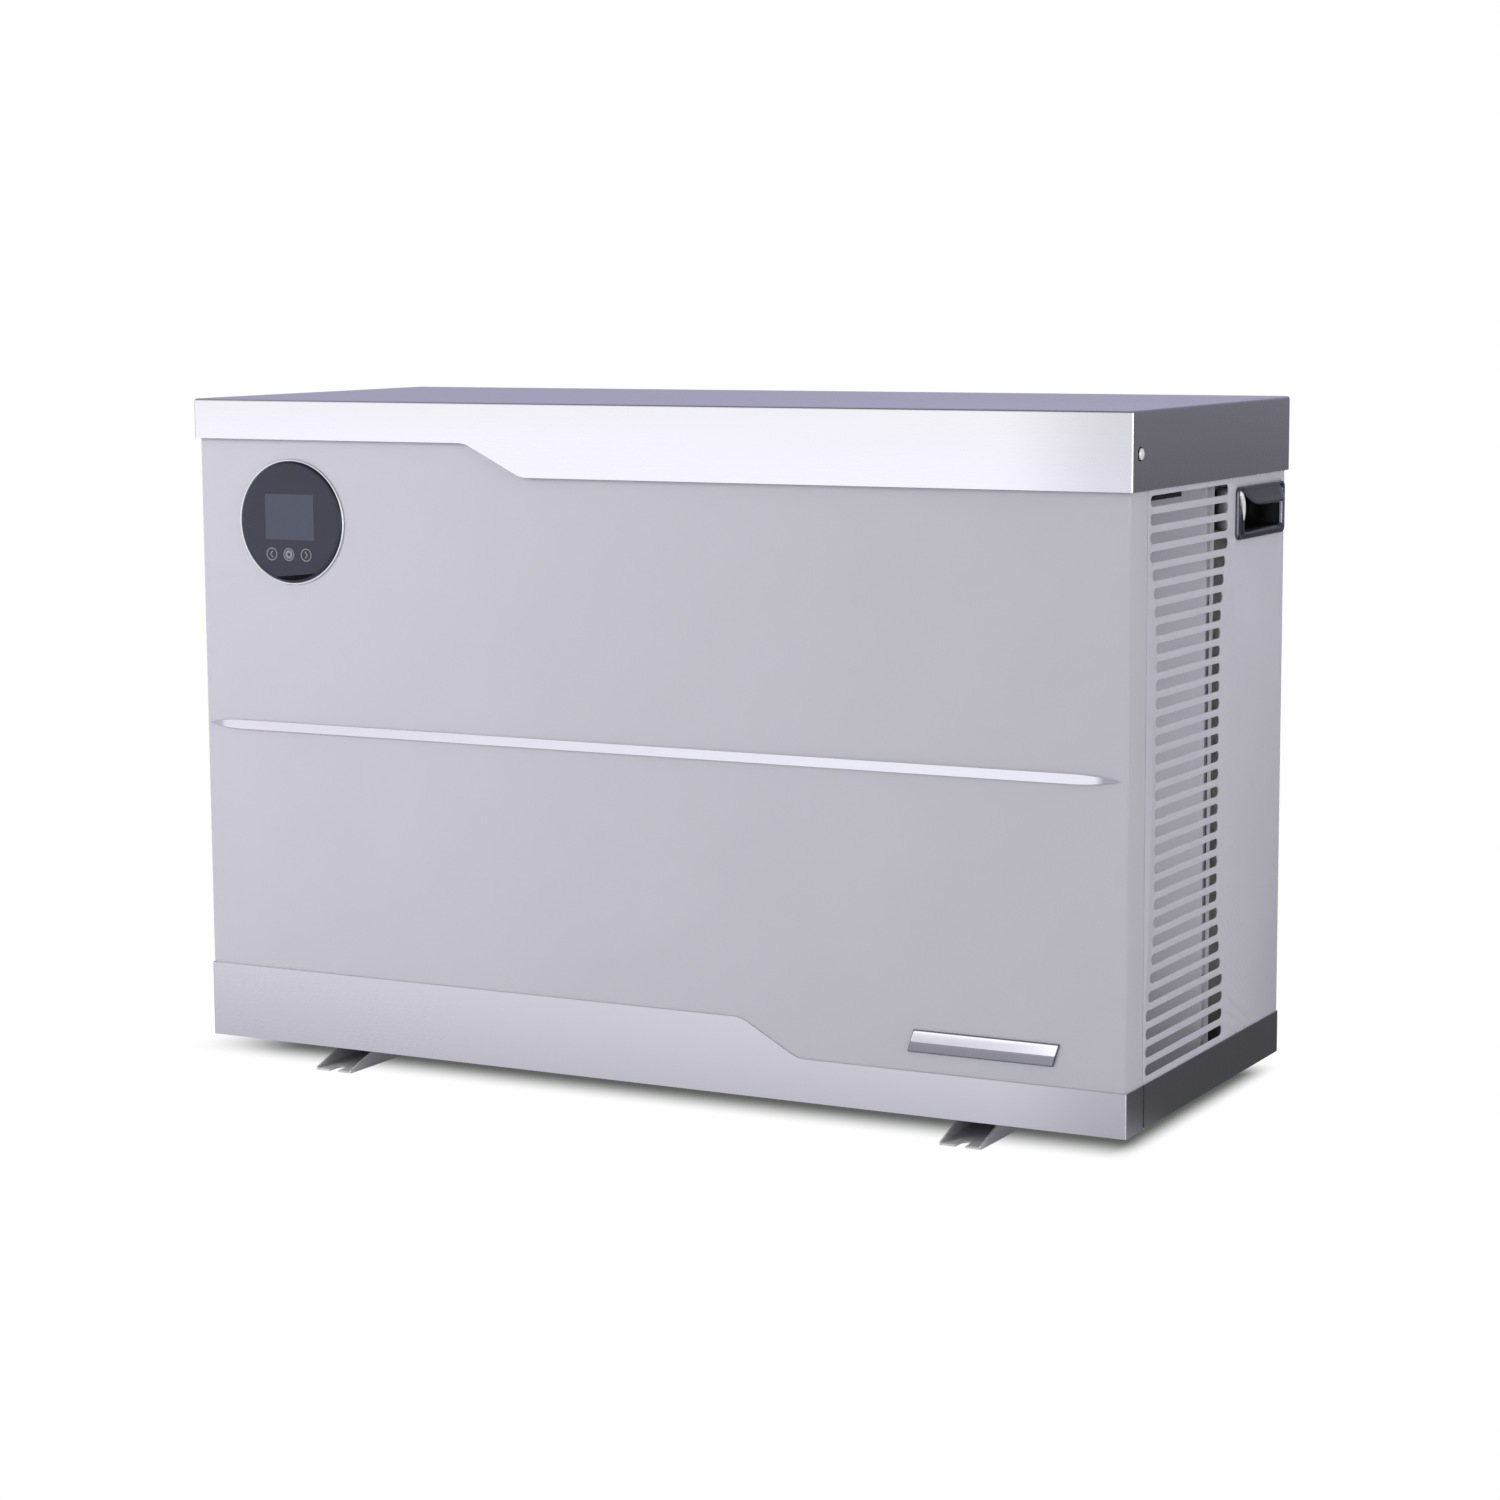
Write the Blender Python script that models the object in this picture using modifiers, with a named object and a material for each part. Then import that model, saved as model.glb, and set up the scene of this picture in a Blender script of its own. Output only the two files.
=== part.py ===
"""Pool heat pump unit: box cabinet in folded sheet metal with a hidden axial fan, side discharge
slots, a round glass control panel on the front, and refrigerant, water and electrical parts inside.

Frame: +Z up, the front faces -Y, +X is the right-hand side seen from the front.
The origin is on the floor, midway across the lid and midway from its front to the union ends.

The design is laid out in cabinet coordinates, in millimetres: x runs right from the lid's left
face, y runs back from the lid's front face, and z runs up from the floor.
"""

import math

import bmesh
import bpy
from mathutils import Matrix, Vector

# ------------------------------------------------------------------ driving dimensions (mm)
LID_W = 1050.0  # lid, left face to right face
LID_D = 430.0  # lid, front face to rear face
FOOT_H = 26.0  # ground clearance under the cabinet
TOP_Z = 703.0  # top of the lid above the floor
UNION_OUT = 45.0  # how far the water unions stand behind the lid
SHEET = 1.2  # lid and cabinet sheet
TRIM_SHEET = 0.9  # stainless trim sheet
GAP = 0.3  # clearance between pieces that rest on each other
FOLD_RELIEF = 0.4  # a fold stops this much short of its panel's top and bottom
OVERHANG = 4.0  # lid beyond the body on either side
BODY_RIGHT = LID_W - OVERHANG  # outer face of the right side panel

SKIRT_SIDE = 74.4  # lid skirt, right part and sides
SKIRT_LEFT = 41.2  # lid skirt, left part of the front
TRIM_LEFT_H = 78.2  # base trim, left part of the front
TRIM_RIGHT_H = 42.9  # base trim, right part and sides
TRIM_INSET = 2.8  # side faces of the trim, in from the lid's
STEP_TANGENT = 8.0  # tangent length of the rounded corners of both steps
LID_SCREW_Y = 17.5
LID_SCREW_Z = {"left": 682.0, "right": 663.0}  # each near the middle of its skirt

PANEL_BOTTOM, PANEL_TOP = FOOT_H + 2, 698  # side panels
INNER_BOTTOM, INNER_TOP = FOOT_H + 4, 696  # sheets inside the cabinet
FRONT_Y = 5.2  # outer face of the front panel
RETURN = 41.6  # how far the front panel folds round the sides
HANDLE = (282.5, 566.0, 420.0, 618.5)  # handle bezel: front y, low z, rear y, high z
DISPLAY = (118.6, 0, 576.7)  # control panel axis, heights along it being y

DECK_Y = 245.0  # fan deck, front face
FAN = (655.0, 228, 356.0)  # front of the propeller hub, on the fan's axis
FAN_R = 216.0
RING_R = 226.0
COIL_OPENING = (352.0, 74.0, 990.0, 646.0)  # opening behind the coil: left, low, right, high

UNION_X = 92.0
UNION_END = LID_D + UNION_OUT
PORT_Z = {"inlet": 130.0, "outlet": 410.0}
SWITCH_Y = 410  # flow switch axis
EXCHANGER = (UNION_X, 318.0)
TITANIUM_TOP = 494.0  # both ends of the titanium coil
HELIX_R = 40.0
COMPRESSOR = (235.0, 330.0)
ACCUMULATOR = (303, 273.5)
REVERSING_VALVE = (250, 350, 400)
STUB_PITCH = 30  # between the three stubs under the reversing valve
EXPANSION_VALVE = (185, 275)
GAS_Y, GAS_Z = 402, 354.0  # where the gas line crosses the partition
LIQUID_Z = 360.0  # height at which the liquid line crosses it
JOINT_GAP = 0.6  # between a copper line's end and the stub it meets
GAUGE_X, GAUGE_Z = 232.0, 470.0
GLAND_X, GLAND_Z = 150, 600

# lid face and the sign of x that leads inwards
SIDES = {"left": (0, 1), "right": (LID_W, -1)}

FRONTAL = Matrix(((1, 0, 0), (0, 0, -1), (0, 1, 0))).to_4x4()  # outline x -> x, y -> z
SIDEWAYS = Matrix(((0, 0, 1), (1, 0, 0), (0, 1, 0))).to_4x4()  # outline x -> y, y -> z
FLAT = Matrix.Identity(4)
ALONG_Y = Matrix.Rotation(-math.pi / 2, 4, "X")  # a turned piece's z -> y
ALONG_X = Matrix.Rotation(math.pi / 2, 4, "Y")  # a turned piece's z -> x

for old in list(bpy.data.objects):
    bpy.data.objects.remove(old, do_unlink=True)

parts = bpy.data.collections.new("heat_pump_unit")
cutters = bpy.data.collections.new("cutters")
for collection in (parts, cutters):
    bpy.context.scene.collection.children.link(collection)


# ------------------------------------------------------------------ materials
def material(name, colour, roughness, metallic=0.0):
    made = bpy.data.materials.get(name) or bpy.data.materials.new(name)
    made.use_nodes = True
    shader = made.node_tree.nodes["Principled BSDF"]
    shader.inputs["Base Color"].default_value = (*colour, 1.0)
    shader.inputs["Roughness"].default_value = roughness
    shader.inputs["Metallic"].default_value = metallic
    made.diffuse_color = (*colour, 1.0)
    return made


STEEL = material("stainless", colour=(0.62, 0.61, 0.64), roughness=0.28, metallic=1.0)
PAINT = material("painted_panel", colour=(0.60, 0.59, 0.62), roughness=0.45, metallic=0.2)
GALVANISED = material("galvanised", colour=(0.55, 0.56, 0.57), roughness=0.5, metallic=0.7)
BLACK = material("black_plastic", colour=(0.03, 0.03, 0.035), roughness=0.5)
GREY = material("grey_plastic", colour=(0.28, 0.29, 0.31), roughness=0.5)
WHITE = material("white_plastic", colour=(0.75, 0.75, 0.74), roughness=0.45)
DARK_CHROME = material("dark_chrome", colour=(0.22, 0.22, 0.25), roughness=0.15, metallic=1.0)
CHROME = material("chrome", colour=(0.85, 0.85, 0.87), roughness=0.08, metallic=1.0)
GLASS = material("black_glass", colour=(0.06, 0.06, 0.075), roughness=0.06)
SCREEN = material("lcd", colour=(0.14, 0.15, 0.18), roughness=0.2)
COPPER = material("copper", colour=(0.72, 0.38, 0.24), roughness=0.35, metallic=1.0)
TITANIUM = material("titanium", colour=(0.48, 0.46, 0.44), roughness=0.35, metallic=1.0)
ALUMINIUM = material("fin_aluminium", colour=(0.42, 0.43, 0.42), roughness=0.45, metallic=0.9)
ENAMEL = material("black_enamel", colour=(0.04, 0.04, 0.045), roughness=0.35, metallic=0.2)
RUBBER = material("rubber", colour=(0.02, 0.02, 0.02), roughness=0.85)
BOARD = material("circuit_board", colour=(0.05, 0.22, 0.10), roughness=0.5)
BRASS = material("brass", colour=(0.70, 0.55, 0.28), roughness=0.3, metallic=1.0)
LENS = material("clear_lens", colour=(0.85, 0.9, 0.92), roughness=0.03)
RED = material("red_needle", colour=(0.55, 0.05, 0.04), roughness=0.5)


# ------------------------------------------------------------------ modelling helpers
def metres(length):
    return length / 1000


def place(x, y, z):
    """Cabinet coordinates in mm to the frame in metres."""
    return Vector(((x - LID_W / 2) / 1000, (y - UNION_END / 2) / 1000, z / 1000))


def add(name, mesh, matrix, finish, smooth=None):
    obj = bpy.data.objects.new(name, mesh)
    parts.objects.link(obj)
    obj.matrix_world = matrix
    mesh.materials.clear()
    mesh.materials.append(finish)
    if smooth:
        mesh.shade_smooth()
        mesh.set_sharp_from_angle(angle=math.radians(smooth))
    return obj


def new_mesh(name, edit):
    """The edited geometry as a new mesh."""
    mesh = bpy.data.meshes.new(name)
    edit.to_mesh(mesh)
    edit.free()
    return mesh


def modify(obj, name, kind, **settings):
    modifier = obj.modifiers.new(name, kind)
    for setting, value in settings.items():
        setattr(modifier, setting, value)


def combine(obj, others, word, operation):
    """Booleans on obj; the others are kept in the file, drawn as wire, never rendered."""
    for other in others:
        modify(
            obj, f"{word}_{other.name[:40]}", "BOOLEAN",
            operation=operation, solver="EXACT", object=other,
        )
        for collection in list(other.users_collection):
            collection.objects.unlink(other)
        cutters.objects.link(other)
        other.hide_render = True
        other.display_type = "WIRE"


def join(obj, *others):
    combine(obj, others, "join", "UNION")


def cut(obj, *others):
    combine(obj, others, "cut", "DIFFERENCE")


def box(name, corner, opposite, finish):
    """A block between two opposite corners, its origin in the middle."""
    size = [metres(abs(b - a)) for a, b in zip(corner, opposite)]
    middle = [(a + b) / 2 for a, b in zip(corner, opposite)]
    edit = bmesh.new()
    bmesh.ops.create_cube(edit, size=1.0, matrix=Matrix.Diagonal((*size, 1.0)))
    return add(name, new_mesh(name, edit), Matrix.Translation(place(*middle)), finish)


FACE_NORMALS = {
    "-x": (-1, 0, 0), "+x": (1, 0, 0), "-y": (0, -1, 0),
    "+y": (0, 1, 0), "-z": (0, 0, -1), "+z": (0, 0, 1),
}


def folded(name, corner, opposite, keep, thickness, finish, bevel=0.0):
    """A folded sheet: a block's faces named in keep, rounded at the folds, thickened inwards."""
    obj = box(name, corner, opposite, finish)
    edit = bmesh.new()
    edit.from_mesh(obj.data)
    kept = [Vector(FACE_NORMALS[key]) for key in keep]
    gone = [f for f in edit.faces if not any(f.normal.dot(normal) > 0.9 for normal in kept)]
    bmesh.ops.delete(edit, geom=gone, context="FACES")
    edit.to_mesh(obj.data)
    edit.free()
    if bevel:
        modify(obj, "folds", "BEVEL", width=metres(bevel), segments=2, limit_method="ANGLE")
    modify(
        obj, "sheet", "SOLIDIFY",
        thickness=metres(thickness), offset=-1.0, use_even_offset=True,
    )
    return obj


def add_polyline(curve, points):
    """A spline through points in metres."""
    spline = curve.splines.new("POLY")
    spline.points.add(len(points) - 1)
    for target, point in zip(spline.points, points):
        target.co = (*point, 1.0)
    return spline


def solid_from_curve(name, curve, matrix, finish, smooth=None):
    """The curve's evaluated mesh as an object, with its caps welded."""
    drawn = bpy.data.objects.new(name + "_curve", curve)
    parts.objects.link(drawn)
    drawn.matrix_world = matrix
    bpy.context.view_layer.update()
    graph = bpy.context.evaluated_depsgraph_get()
    mesh = bpy.data.meshes.new_from_object(drawn.evaluated_get(graph))
    mesh.name = name
    settled = drawn.matrix_world.copy()
    bpy.data.objects.remove(drawn)
    bpy.data.curves.remove(curve)
    edit = bmesh.new()
    edit.from_mesh(mesh)
    bmesh.ops.remove_doubles(edit, verts=edit.verts, dist=1e-6)
    bmesh.ops.recalc_face_normals(edit, faces=edit.faces)
    edit.to_mesh(mesh)
    edit.free()
    return add(name, mesh, settled, finish, smooth)


def plate(name, outlines, thickness, plane, centre, finish):
    """A flat plate from closed outlines, holes included, centred on its thickness."""
    curve = bpy.data.curves.new(name, "CURVE")
    curve.dimensions = "2D"
    curve.fill_mode = "BOTH"
    curve.extrude = metres(thickness) / 2
    for outline in outlines:
        points = [(metres(x), metres(y), 0.0) for x, y in outline]
        add_polyline(curve, points).use_cyclic_u = True
    return solid_from_curve(name, curve, Matrix.Translation(place(*centre)) @ plane, finish)


def arc(x, y, radius, start, sweep, steps):
    """Points from start through sweep degrees, both ends included."""
    angles = [math.radians(start + sweep * i / steps) for i in range(steps + 1)]
    return [(x + radius * math.cos(a), y + radius * math.sin(a)) for a in angles]


def rectangle(left, low, right, high, radius=0.0, steps=3):
    """An outline with its corners rounded to radius."""
    if not radius:
        return [(left, low), (right, low), (right, high), (left, high)]
    return [
        *arc(right - radius, low + radius, radius, -90, 90, steps),
        *arc(right - radius, high - radius, radius, 0, 90, steps),
        *arc(left + radius, high - radius, radius, 90, 90, steps),
        *arc(left + radius, low + radius, radius, 180, 90, steps),
    ]


def circle(x, y, radius, steps):
    angles = [2 * math.pi * i / steps for i in range(steps)]
    return [(x + radius * math.cos(a), y + radius * math.sin(a)) for a in angles]


def turned(name, profile, origin, axis, finish, steps=20, closed=False):
    """A profile of (radius, height along the axis) pairs, swept a full turn.

    Outer sides run from top to bottom.
    """
    mesh = bpy.data.meshes.new(name)
    verts = [(metres(radius), 0.0, metres(height)) for radius, height in profile]
    edges = [(i, i + 1) for i in range(len(verts) - 1)]
    if closed:
        edges.append((len(verts) - 1, 0))
    mesh.from_pydata(verts, edges, [])
    obj = add(name, mesh, Matrix.Translation(place(*origin)) @ axis, finish)
    modify(
        obj, "turn", "SCREW", axis="Z", angle=2 * math.pi, steps=steps, render_steps=steps,
        use_merge_vertices=True, merge_threshold=0.00001, use_smooth_shade=True,
    )
    return obj


def rod(name, radius, start, end, origin, axis, finish, steps=16):
    """A plain cylinder from start to end along its axis."""
    edit = bmesh.new()
    bmesh.ops.create_cone(
        edit, cap_ends=True, segments=steps, radius1=metres(radius), radius2=metres(radius),
        depth=metres(end - start), matrix=Matrix.Translation((0, 0, metres(start + end) / 2)),
    )
    matrix = Matrix.Translation(place(*origin)) @ axis
    return add(name, new_mesh(name, edit), matrix, finish, smooth=35)


def bends(points, radius, steps=3):
    """A polyline whose corners are true arcs of the bend radius, as a tube bender leaves them."""
    points = [Vector(p) for p in points]
    path = [points[0]]
    for before, corner, after in zip(points, points[1:], points[2:]):
        back, ahead = (before - corner).normalized(), (after - corner).normalized()
        half = back.angle(ahead) / 2
        shorter = min((before - corner).length, (after - corner).length)
        bend = min(radius, 0.48 * math.tan(half) * shorter)
        centre = corner + (back + ahead).normalized() * (bend / math.sin(half))
        start = corner + back * (bend / math.tan(half)) - centre
        end = corner + ahead * (bend / math.tan(half)) - centre
        path += [centre + start.slerp(end, i / steps) * bend for i in range(steps + 1)]
    path.append(points[-1])
    return path


def pipe(name, points, radius, finish, bend=14.0, resolution=2):
    """A tube through points, with its origin at the first."""
    curve = bpy.data.curves.new(name, "CURVE")
    curve.dimensions = "3D"
    curve.bevel_depth = metres(radius)
    curve.bevel_resolution = resolution
    curve.use_fill_caps = True
    path = bends(points, bend) if bend else [Vector(p) for p in points]
    origin = place(*path[0])
    add_polyline(curve, [place(*point) - origin for point in path])
    return solid_from_curve(name, curve, Matrix.Translation(origin), finish, smooth=50)


def pivot(name, origin, *children):
    """An empty on a joint's axis that carries the pieces which move about it."""
    empty = bpy.data.objects.new(name, None)
    empty.empty_display_size = 0.03
    parts.objects.link(empty)
    empty.matrix_world = Matrix.Translation(place(*origin))
    bpy.context.view_layer.update()
    for child in children:
        world = child.matrix_world.copy()
        child.parent = empty
        child.matrix_parent_inverse = empty.matrix_world.inverted()
        child.matrix_world = world


def step_edge(x_start, x_end, z_left, z_right, ramp_start, ramp_end, steps=4):
    """The stepped edge shared by lid and base trim: level, a ramp with rounded ends, level."""
    corners = [(x_start, z_left), (ramp_start, z_left), (ramp_end, z_right), (x_end, z_right)]
    corners = [Vector((x, 0, z)) for x, z in corners]
    edge = [corners[0]]
    for before, corner, after in zip(corners, corners[1:], corners[2:]):
        start = corner + (before - corner).normalized() * STEP_TANGENT
        end = corner + (after - corner).normalized() * STEP_TANGENT
        for i in range(steps + 1):
            t = i / steps
            edge.append(start * (1 - t) ** 2 + 2 * corner * t * (1 - t) + end * t**2)
    edge.append(corners[-1])
    return [(p.x, p.z) for p in edge]


# ------------------------------------------------------------------ lid
skirt_low, skirt_high = TOP_Z - SKIRT_SIDE, TOP_Z - SKIRT_LEFT
lid = folded(
    "top_lid", (0, 0, skirt_low), (LID_W, LID_D, TOP_Z), ("-x", "+x", "-y", "+y", "+z"),
    SHEET, STEEL, bevel=3.0,
)
edge = step_edge(20, 450, skirt_high, skirt_low, ramp_start=333, ramp_end=399)[:-1]
below = skirt_low - 12
cut(lid, plate(
    "lid_step_cutter", [[(-10, below), (-10, skirt_high), *edge, (edge[-1][0], below)]],
    LID_D + 26, FRONTAL, (0, LID_D / 2, 0), STEEL,
))
SCREW_HOLE_R = 2.4
for side, (lid_x, _) in SIDES.items():
    origin = (lid_x, LID_SCREW_Y, LID_SCREW_Z[side])
    cut(lid, rod(f"lid_hole_{side}", SCREW_HOLE_R, -8, 8, origin, ALONG_X, STEEL, 8))

SCREW_PROFILE = [  # height out from the lid's side face
    (0, 2.9), (2.9, 2.6), (4.9, 1.6), (5.6, 0.3), (1.9, 0.3), (1.9, -10), (0, -10),
]
for side, (lid_x, inward) in SIDES.items():
    outwards = Matrix.Rotation(-inward * math.pi / 2, 4, "Y")
    origin = (lid_x, LID_SCREW_Y, LID_SCREW_Z[side])
    turned(f"lid_screw_{side}", SCREW_PROFILE, origin, outwards, STEEL, 12)

# ------------------------------------------------------------------ front panel
front = folded(
    "front_panel", (OVERHANG, FRONT_Y, PANEL_BOTTOM), (BODY_RIGHT, FRONT_Y + RETURN, 697),
    ("-x", "+x", "-y"), SHEET, PAINT, bevel=2.6,
)

# the embossed rib tapers towards both ends
RIB_Z = 362.3  # centre line
RIB_HALF = 5.5  # half its height
RIB_PROUD = 3.0
RIB_ROOT = 0.8  # how far it runs into the panel
RIB_STATIONS = [  # x, share of the half height
    (6.5, 0), (20, 0.62), (60, 1), (LID_W - 66, 1), (LID_W - 24, 0.62), (LID_W - 10, 0),
]
rib_outline = [(x, RIB_Z + RIB_HALF * share) for x, share in RIB_STATIONS]
rib_outline += [(x, RIB_Z - RIB_HALF * share) for x, share in RIB_STATIONS[-2:0:-1]]
rib = plate(
    "rib_emboss", [rib_outline], RIB_PROUD + RIB_ROOT, FRONTAL,
    (0, FRONT_Y + RIB_ROOT / 2 - RIB_PROUD / 2, 0), PAINT,
)
modify(
    rib, "crown", "BEVEL", width=metres(2.4), segments=1, limit_method="ANGLE",
    angle_limit=math.radians(60),
)
join(front, rib)
display_centre = (DISPLAY[0], FRONT_Y, DISPLAY[2])
cut(front, rod("display_hole", 50.5, -8, 8, display_centre, ALONG_Y, PAINT, 24))
for side, (lid_x, inward) in SIDES.items():
    origin = (lid_x + inward * OVERHANG, LID_SCREW_Y, LID_SCREW_Z[side])
    cut(front, rod(f"return_hole_{side}", SCREW_HOLE_R, -6, 6, origin, ALONG_X, PAINT, 8))

plate("badge_plate", [rectangle(822, 88, 980, 110, 5, 2)], 2.5, FRONTAL, (0, 3.65, 0), CHROME)

# ------------------------------------------------------------------ side panels
SLOT_PITCH = 17.32
SLOT_R = 5.2  # half the slot height
SLOT_TOP_Z = 617.5
# front and rear ends (y) of the upper 16 slots, top first; the lower 16 mirror them
SLOT_ENDS = [
    *[(54.8, 262.5)] * 4,
    (61.3, 256.3), (65.0, 252.8), (68.0, 250.0), (70.8, 246.6),
    *[(73.0, 245.0)] * 8,
]


def slot_outlines():
    """Discharge slots in a waisted pattern, widest at top and bottom."""
    outlines = []
    for i, (start, end) in enumerate(SLOT_ENDS + SLOT_ENDS[::-1]):
        z = SLOT_TOP_Z - i * SLOT_PITCH
        rear_end = arc(end - SLOT_R, z, SLOT_R, -90, 180, 3)
        outlines.append(rear_end + arc(start + SLOT_R, z, SLOT_R, 90, 180, 3))
    return outlines


def side_panel(side, lid_x, inward):
    """A slotted panel with a fold at the rear and a joggled tongue behind the front's return."""
    name = f"side_panel_{side}"
    outer = lid_x + inward * OVERHANG
    inner = outer + inward * SHEET
    y_front, z_low, y_rear, z_high = HANDLE
    outlines = [
        rectangle(FRONT_Y + RETURN + 0.6, PANEL_BOTTOM, 426, PANEL_TOP),
        *slot_outlines(),
        rectangle(y_front + 3, z_low + 3, y_rear - 3, z_high - 3, 1.5, 2),
    ]
    panel = plate(name, outlines, SHEET, SIDEWAYS, ((outer + inner) / 2, 0, 0), PAINT)
    # name, x and y of one corner, x and y of the opposite one, bottom, top
    strips = [
        ("rear_fold", outer + GAP * inward, 424.5, outer + 16 * inward, 425.7,
         PANEL_BOTTOM + FOLD_RELIEF, PANEL_TOP - FOLD_RELIEF),
        ("lap", inner - 0.4 * inward, 47.8, inner + 1.5 * inward, 53.0,
         INNER_BOTTOM, INNER_TOP),
        ("tongue", inner + GAP * inward, 32.0, inner + 1.5 * inward, 50.0,
         INNER_BOTTOM, INNER_TOP),
    ]
    for strip, x0, y0, x1, y1, bottom, top in strips:
        join(panel, box(f"{name}_{strip}", (x0, y0, bottom), (x1, y1, top), PAINT))


def handle(side, lid_x, inward):
    """A recessed grip: a bezel outside, a cup behind it, a bar along the top and a hood."""
    name = f"handle_{side}"
    body = lid_x + inward * OVERHANG
    face = body - inward * 2.6
    seat = body - inward * GAP
    deep = face + inward * 36
    hood = 6.2  # how far the hood stands out from the bezel face
    y0, z0, y1, z1 = HANDLE
    bezel = plate(
        name,
        [rectangle(y0, z0, y1, z1, 7, 3),
         rectangle(y0 + 18, z0 + 9, y1 - 10.5, z1 - 7.8, 5, 2)],
        abs(face - seat), SIDEWAYS, ((face + seat) / 2, 0, 0), DARK_CHROME,
    )
    join(bezel, box(
        name + "_cup", (face + inward * 1.2, y0 + 4, z0 + 4), (deep, y1 - 4, z1 - 4),
        DARK_CHROME,
    ))
    cut(bezel, box(
        name + "_hollow", (face - inward * 8, y0 + 18.6, z0 + 9.6),
        (deep - inward * 2.5, y1 - 11.1, z1 - 8.6), DARK_CHROME,
    ))
    join(bezel, rod(
        name + "_roll", 9.5, 6, (y1 - y0) - 6, (face + inward * 11.5, y0, z1 - 15),
        ALONG_Y, DARK_CHROME,
    ))
    section = [  # distance out from the face, drop from the bezel's top
        (-2, 2.2), (1.2, 2.2), (hood, 16.5), (hood - 0.8, 19), (3.4, 19), (-2, 9.6),
    ]
    join(bezel, plate(
        name + "_lip", [[(face - inward * out, z1 - drop) for out, drop in section]],
        (y1 - y0) - 32, FRONTAL, (0, (y0 + y1) / 2, 0), DARK_CHROME,
    ))


for side, (lid_x, inward) in SIDES.items():
    side_panel(side, lid_x, inward)
    handle(side, lid_x, inward)

# ------------------------------------------------------------------ rear panel and coil guard
plate(
    "rear_panel",
    [
        rectangle(8, INNER_BOTTOM, LID_W - 8, PANEL_TOP),
        rectangle(*COIL_OPENING, 8, 2),
        circle(UNION_X, PORT_Z["inlet"], 33, 20),
        circle(UNION_X, PORT_Z["outlet"], 33, 20),
        circle(GAUGE_X, GAUGE_Z, 27.6, 20),
        circle(GLAND_X, GLAND_Z, 9.4, 12),
    ],
    SHEET, FRONTAL, (0, 423.8, 0), PAINT,
)

GUARD_BORDER = 12
GUARD_BAR = 4.0
GUARD_COLUMNS, GUARD_ROWS = 4, 12
left, low, right, high = COIL_OPENING
cell_w = (right - left - (GUARD_COLUMNS - 1) * GUARD_BAR) / GUARD_COLUMNS
cell_h = (high - low - (GUARD_ROWS - 1) * GUARD_BAR) / GUARD_ROWS
guard_outlines = [rectangle(
    left - GUARD_BORDER, low - GUARD_BORDER, right + GUARD_BORDER, high + GUARD_BORDER, 6, 2,
)]
for i in range(GUARD_COLUMNS):
    for j in range(GUARD_ROWS):
        x, z = left + i * (cell_w + GUARD_BAR), low + j * (cell_h + GUARD_BAR)
        guard_outlines.append(rectangle(x, z, x + cell_w, z + cell_h))
plate("coil_guard", guard_outlines, 2.6, FRONTAL, (0, 426.1, 0), BLACK)

# ------------------------------------------------------------------ base
pan = folded(
    "base_pan", (10, 9, FOOT_H + GAP), (LID_W - 10, 421, 58), ("-x", "+x", "-y", "+y", "-z"),
    1.5, GALVANISED, bevel=3.0,
)
cut(pan, rod("drain_hole", 11, -10, 10, (700, 300, FOOT_H), FLAT, GALVANISED))

trim_left_top, trim_right_top = FOOT_H + TRIM_LEFT_H, FOOT_H + TRIM_RIGHT_H
trim = folded(
    "base_trim_front", (TRIM_INSET, 4.0, FOOT_H), (LID_W - TRIM_INSET, 47.0, trim_left_top),
    ("-x", "+x", "-y"), TRIM_SHEET, STEEL, bevel=2.4,
)
x_end, above = LID_W + 20, FOOT_H + 120
edge = step_edge(560, x_end, trim_left_top, trim_right_top, ramp_start=641, ramp_end=704)[1:]
cut(trim, plate(
    "trim_cutter", [[*edge, (x_end, above), (edge[0][0], above)]], 90, FRONTAL, (0, 20, 0), STEEL,
))
# the left return drops to the side trim's height
cut(trim, box("trim_return_cutter", (-10, 8.5, trim_right_top), (8, 90, FOOT_H + 130), STEEL))
for side, (lid_x, inward) in SIDES.items():
    folded(
        f"base_trim_{side}", (lid_x + inward * TRIM_INSET, 47.6, FOOT_H),
        (lid_x + inward * (TRIM_INSET + 18), 428, trim_right_top),
        ("-x" if inward > 0 else "+x", "+y"), TRIM_SHEET, STEEL, bevel=2.4,
    )

FOOT_CENTRES = {"left": 157.0, "right": 878.5}
FOOT_W = 44.0
FOOT_ENDS = {"front": (3.0, 1), "rear": (425.0, -1)}  # y, and the sign that leads inwards
RAMP = [  # distance in from the rail's end, height
    (-8, 4), (2, 4), (76, FOOT_H + 2), (76, FOOT_H + 8), (-8, FOOT_H + 8),
]
NOTCH = [  # offset from the rail's centre line, distance in from its end
    (-5, -9), (5, -9), (5, 13), (3.5, 16.5), (0, 18), (-3.5, 16.5), (-5, 13),
]
for side, centre in FOOT_CENTRES.items():
    name = f"foot_rail_{side}"
    rail = folded(
        name, (centre - FOOT_W / 2, FOOT_ENDS["front"][0], 0),
        (centre + FOOT_W / 2, FOOT_ENDS["rear"][0], FOOT_H), ("-x", "+x", "-z"), 2.0, GALVANISED,
    )
    for end, (end_y, inward) in FOOT_ENDS.items():
        ramp = [(end_y + inward * along, z) for along, z in RAMP]
        notch = [(centre + across, end_y + inward * along) for across, along in NOTCH]
        cut(
            rail,
            plate(f"{name}_{end}_ramp", [ramp], 60, SIDEWAYS, (centre, 0, 0), GALVANISED),
            plate(f"{name}_{end}_notch", [notch], 12, FLAT, (0, 0, 1), GALVANISED),
        )

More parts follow.
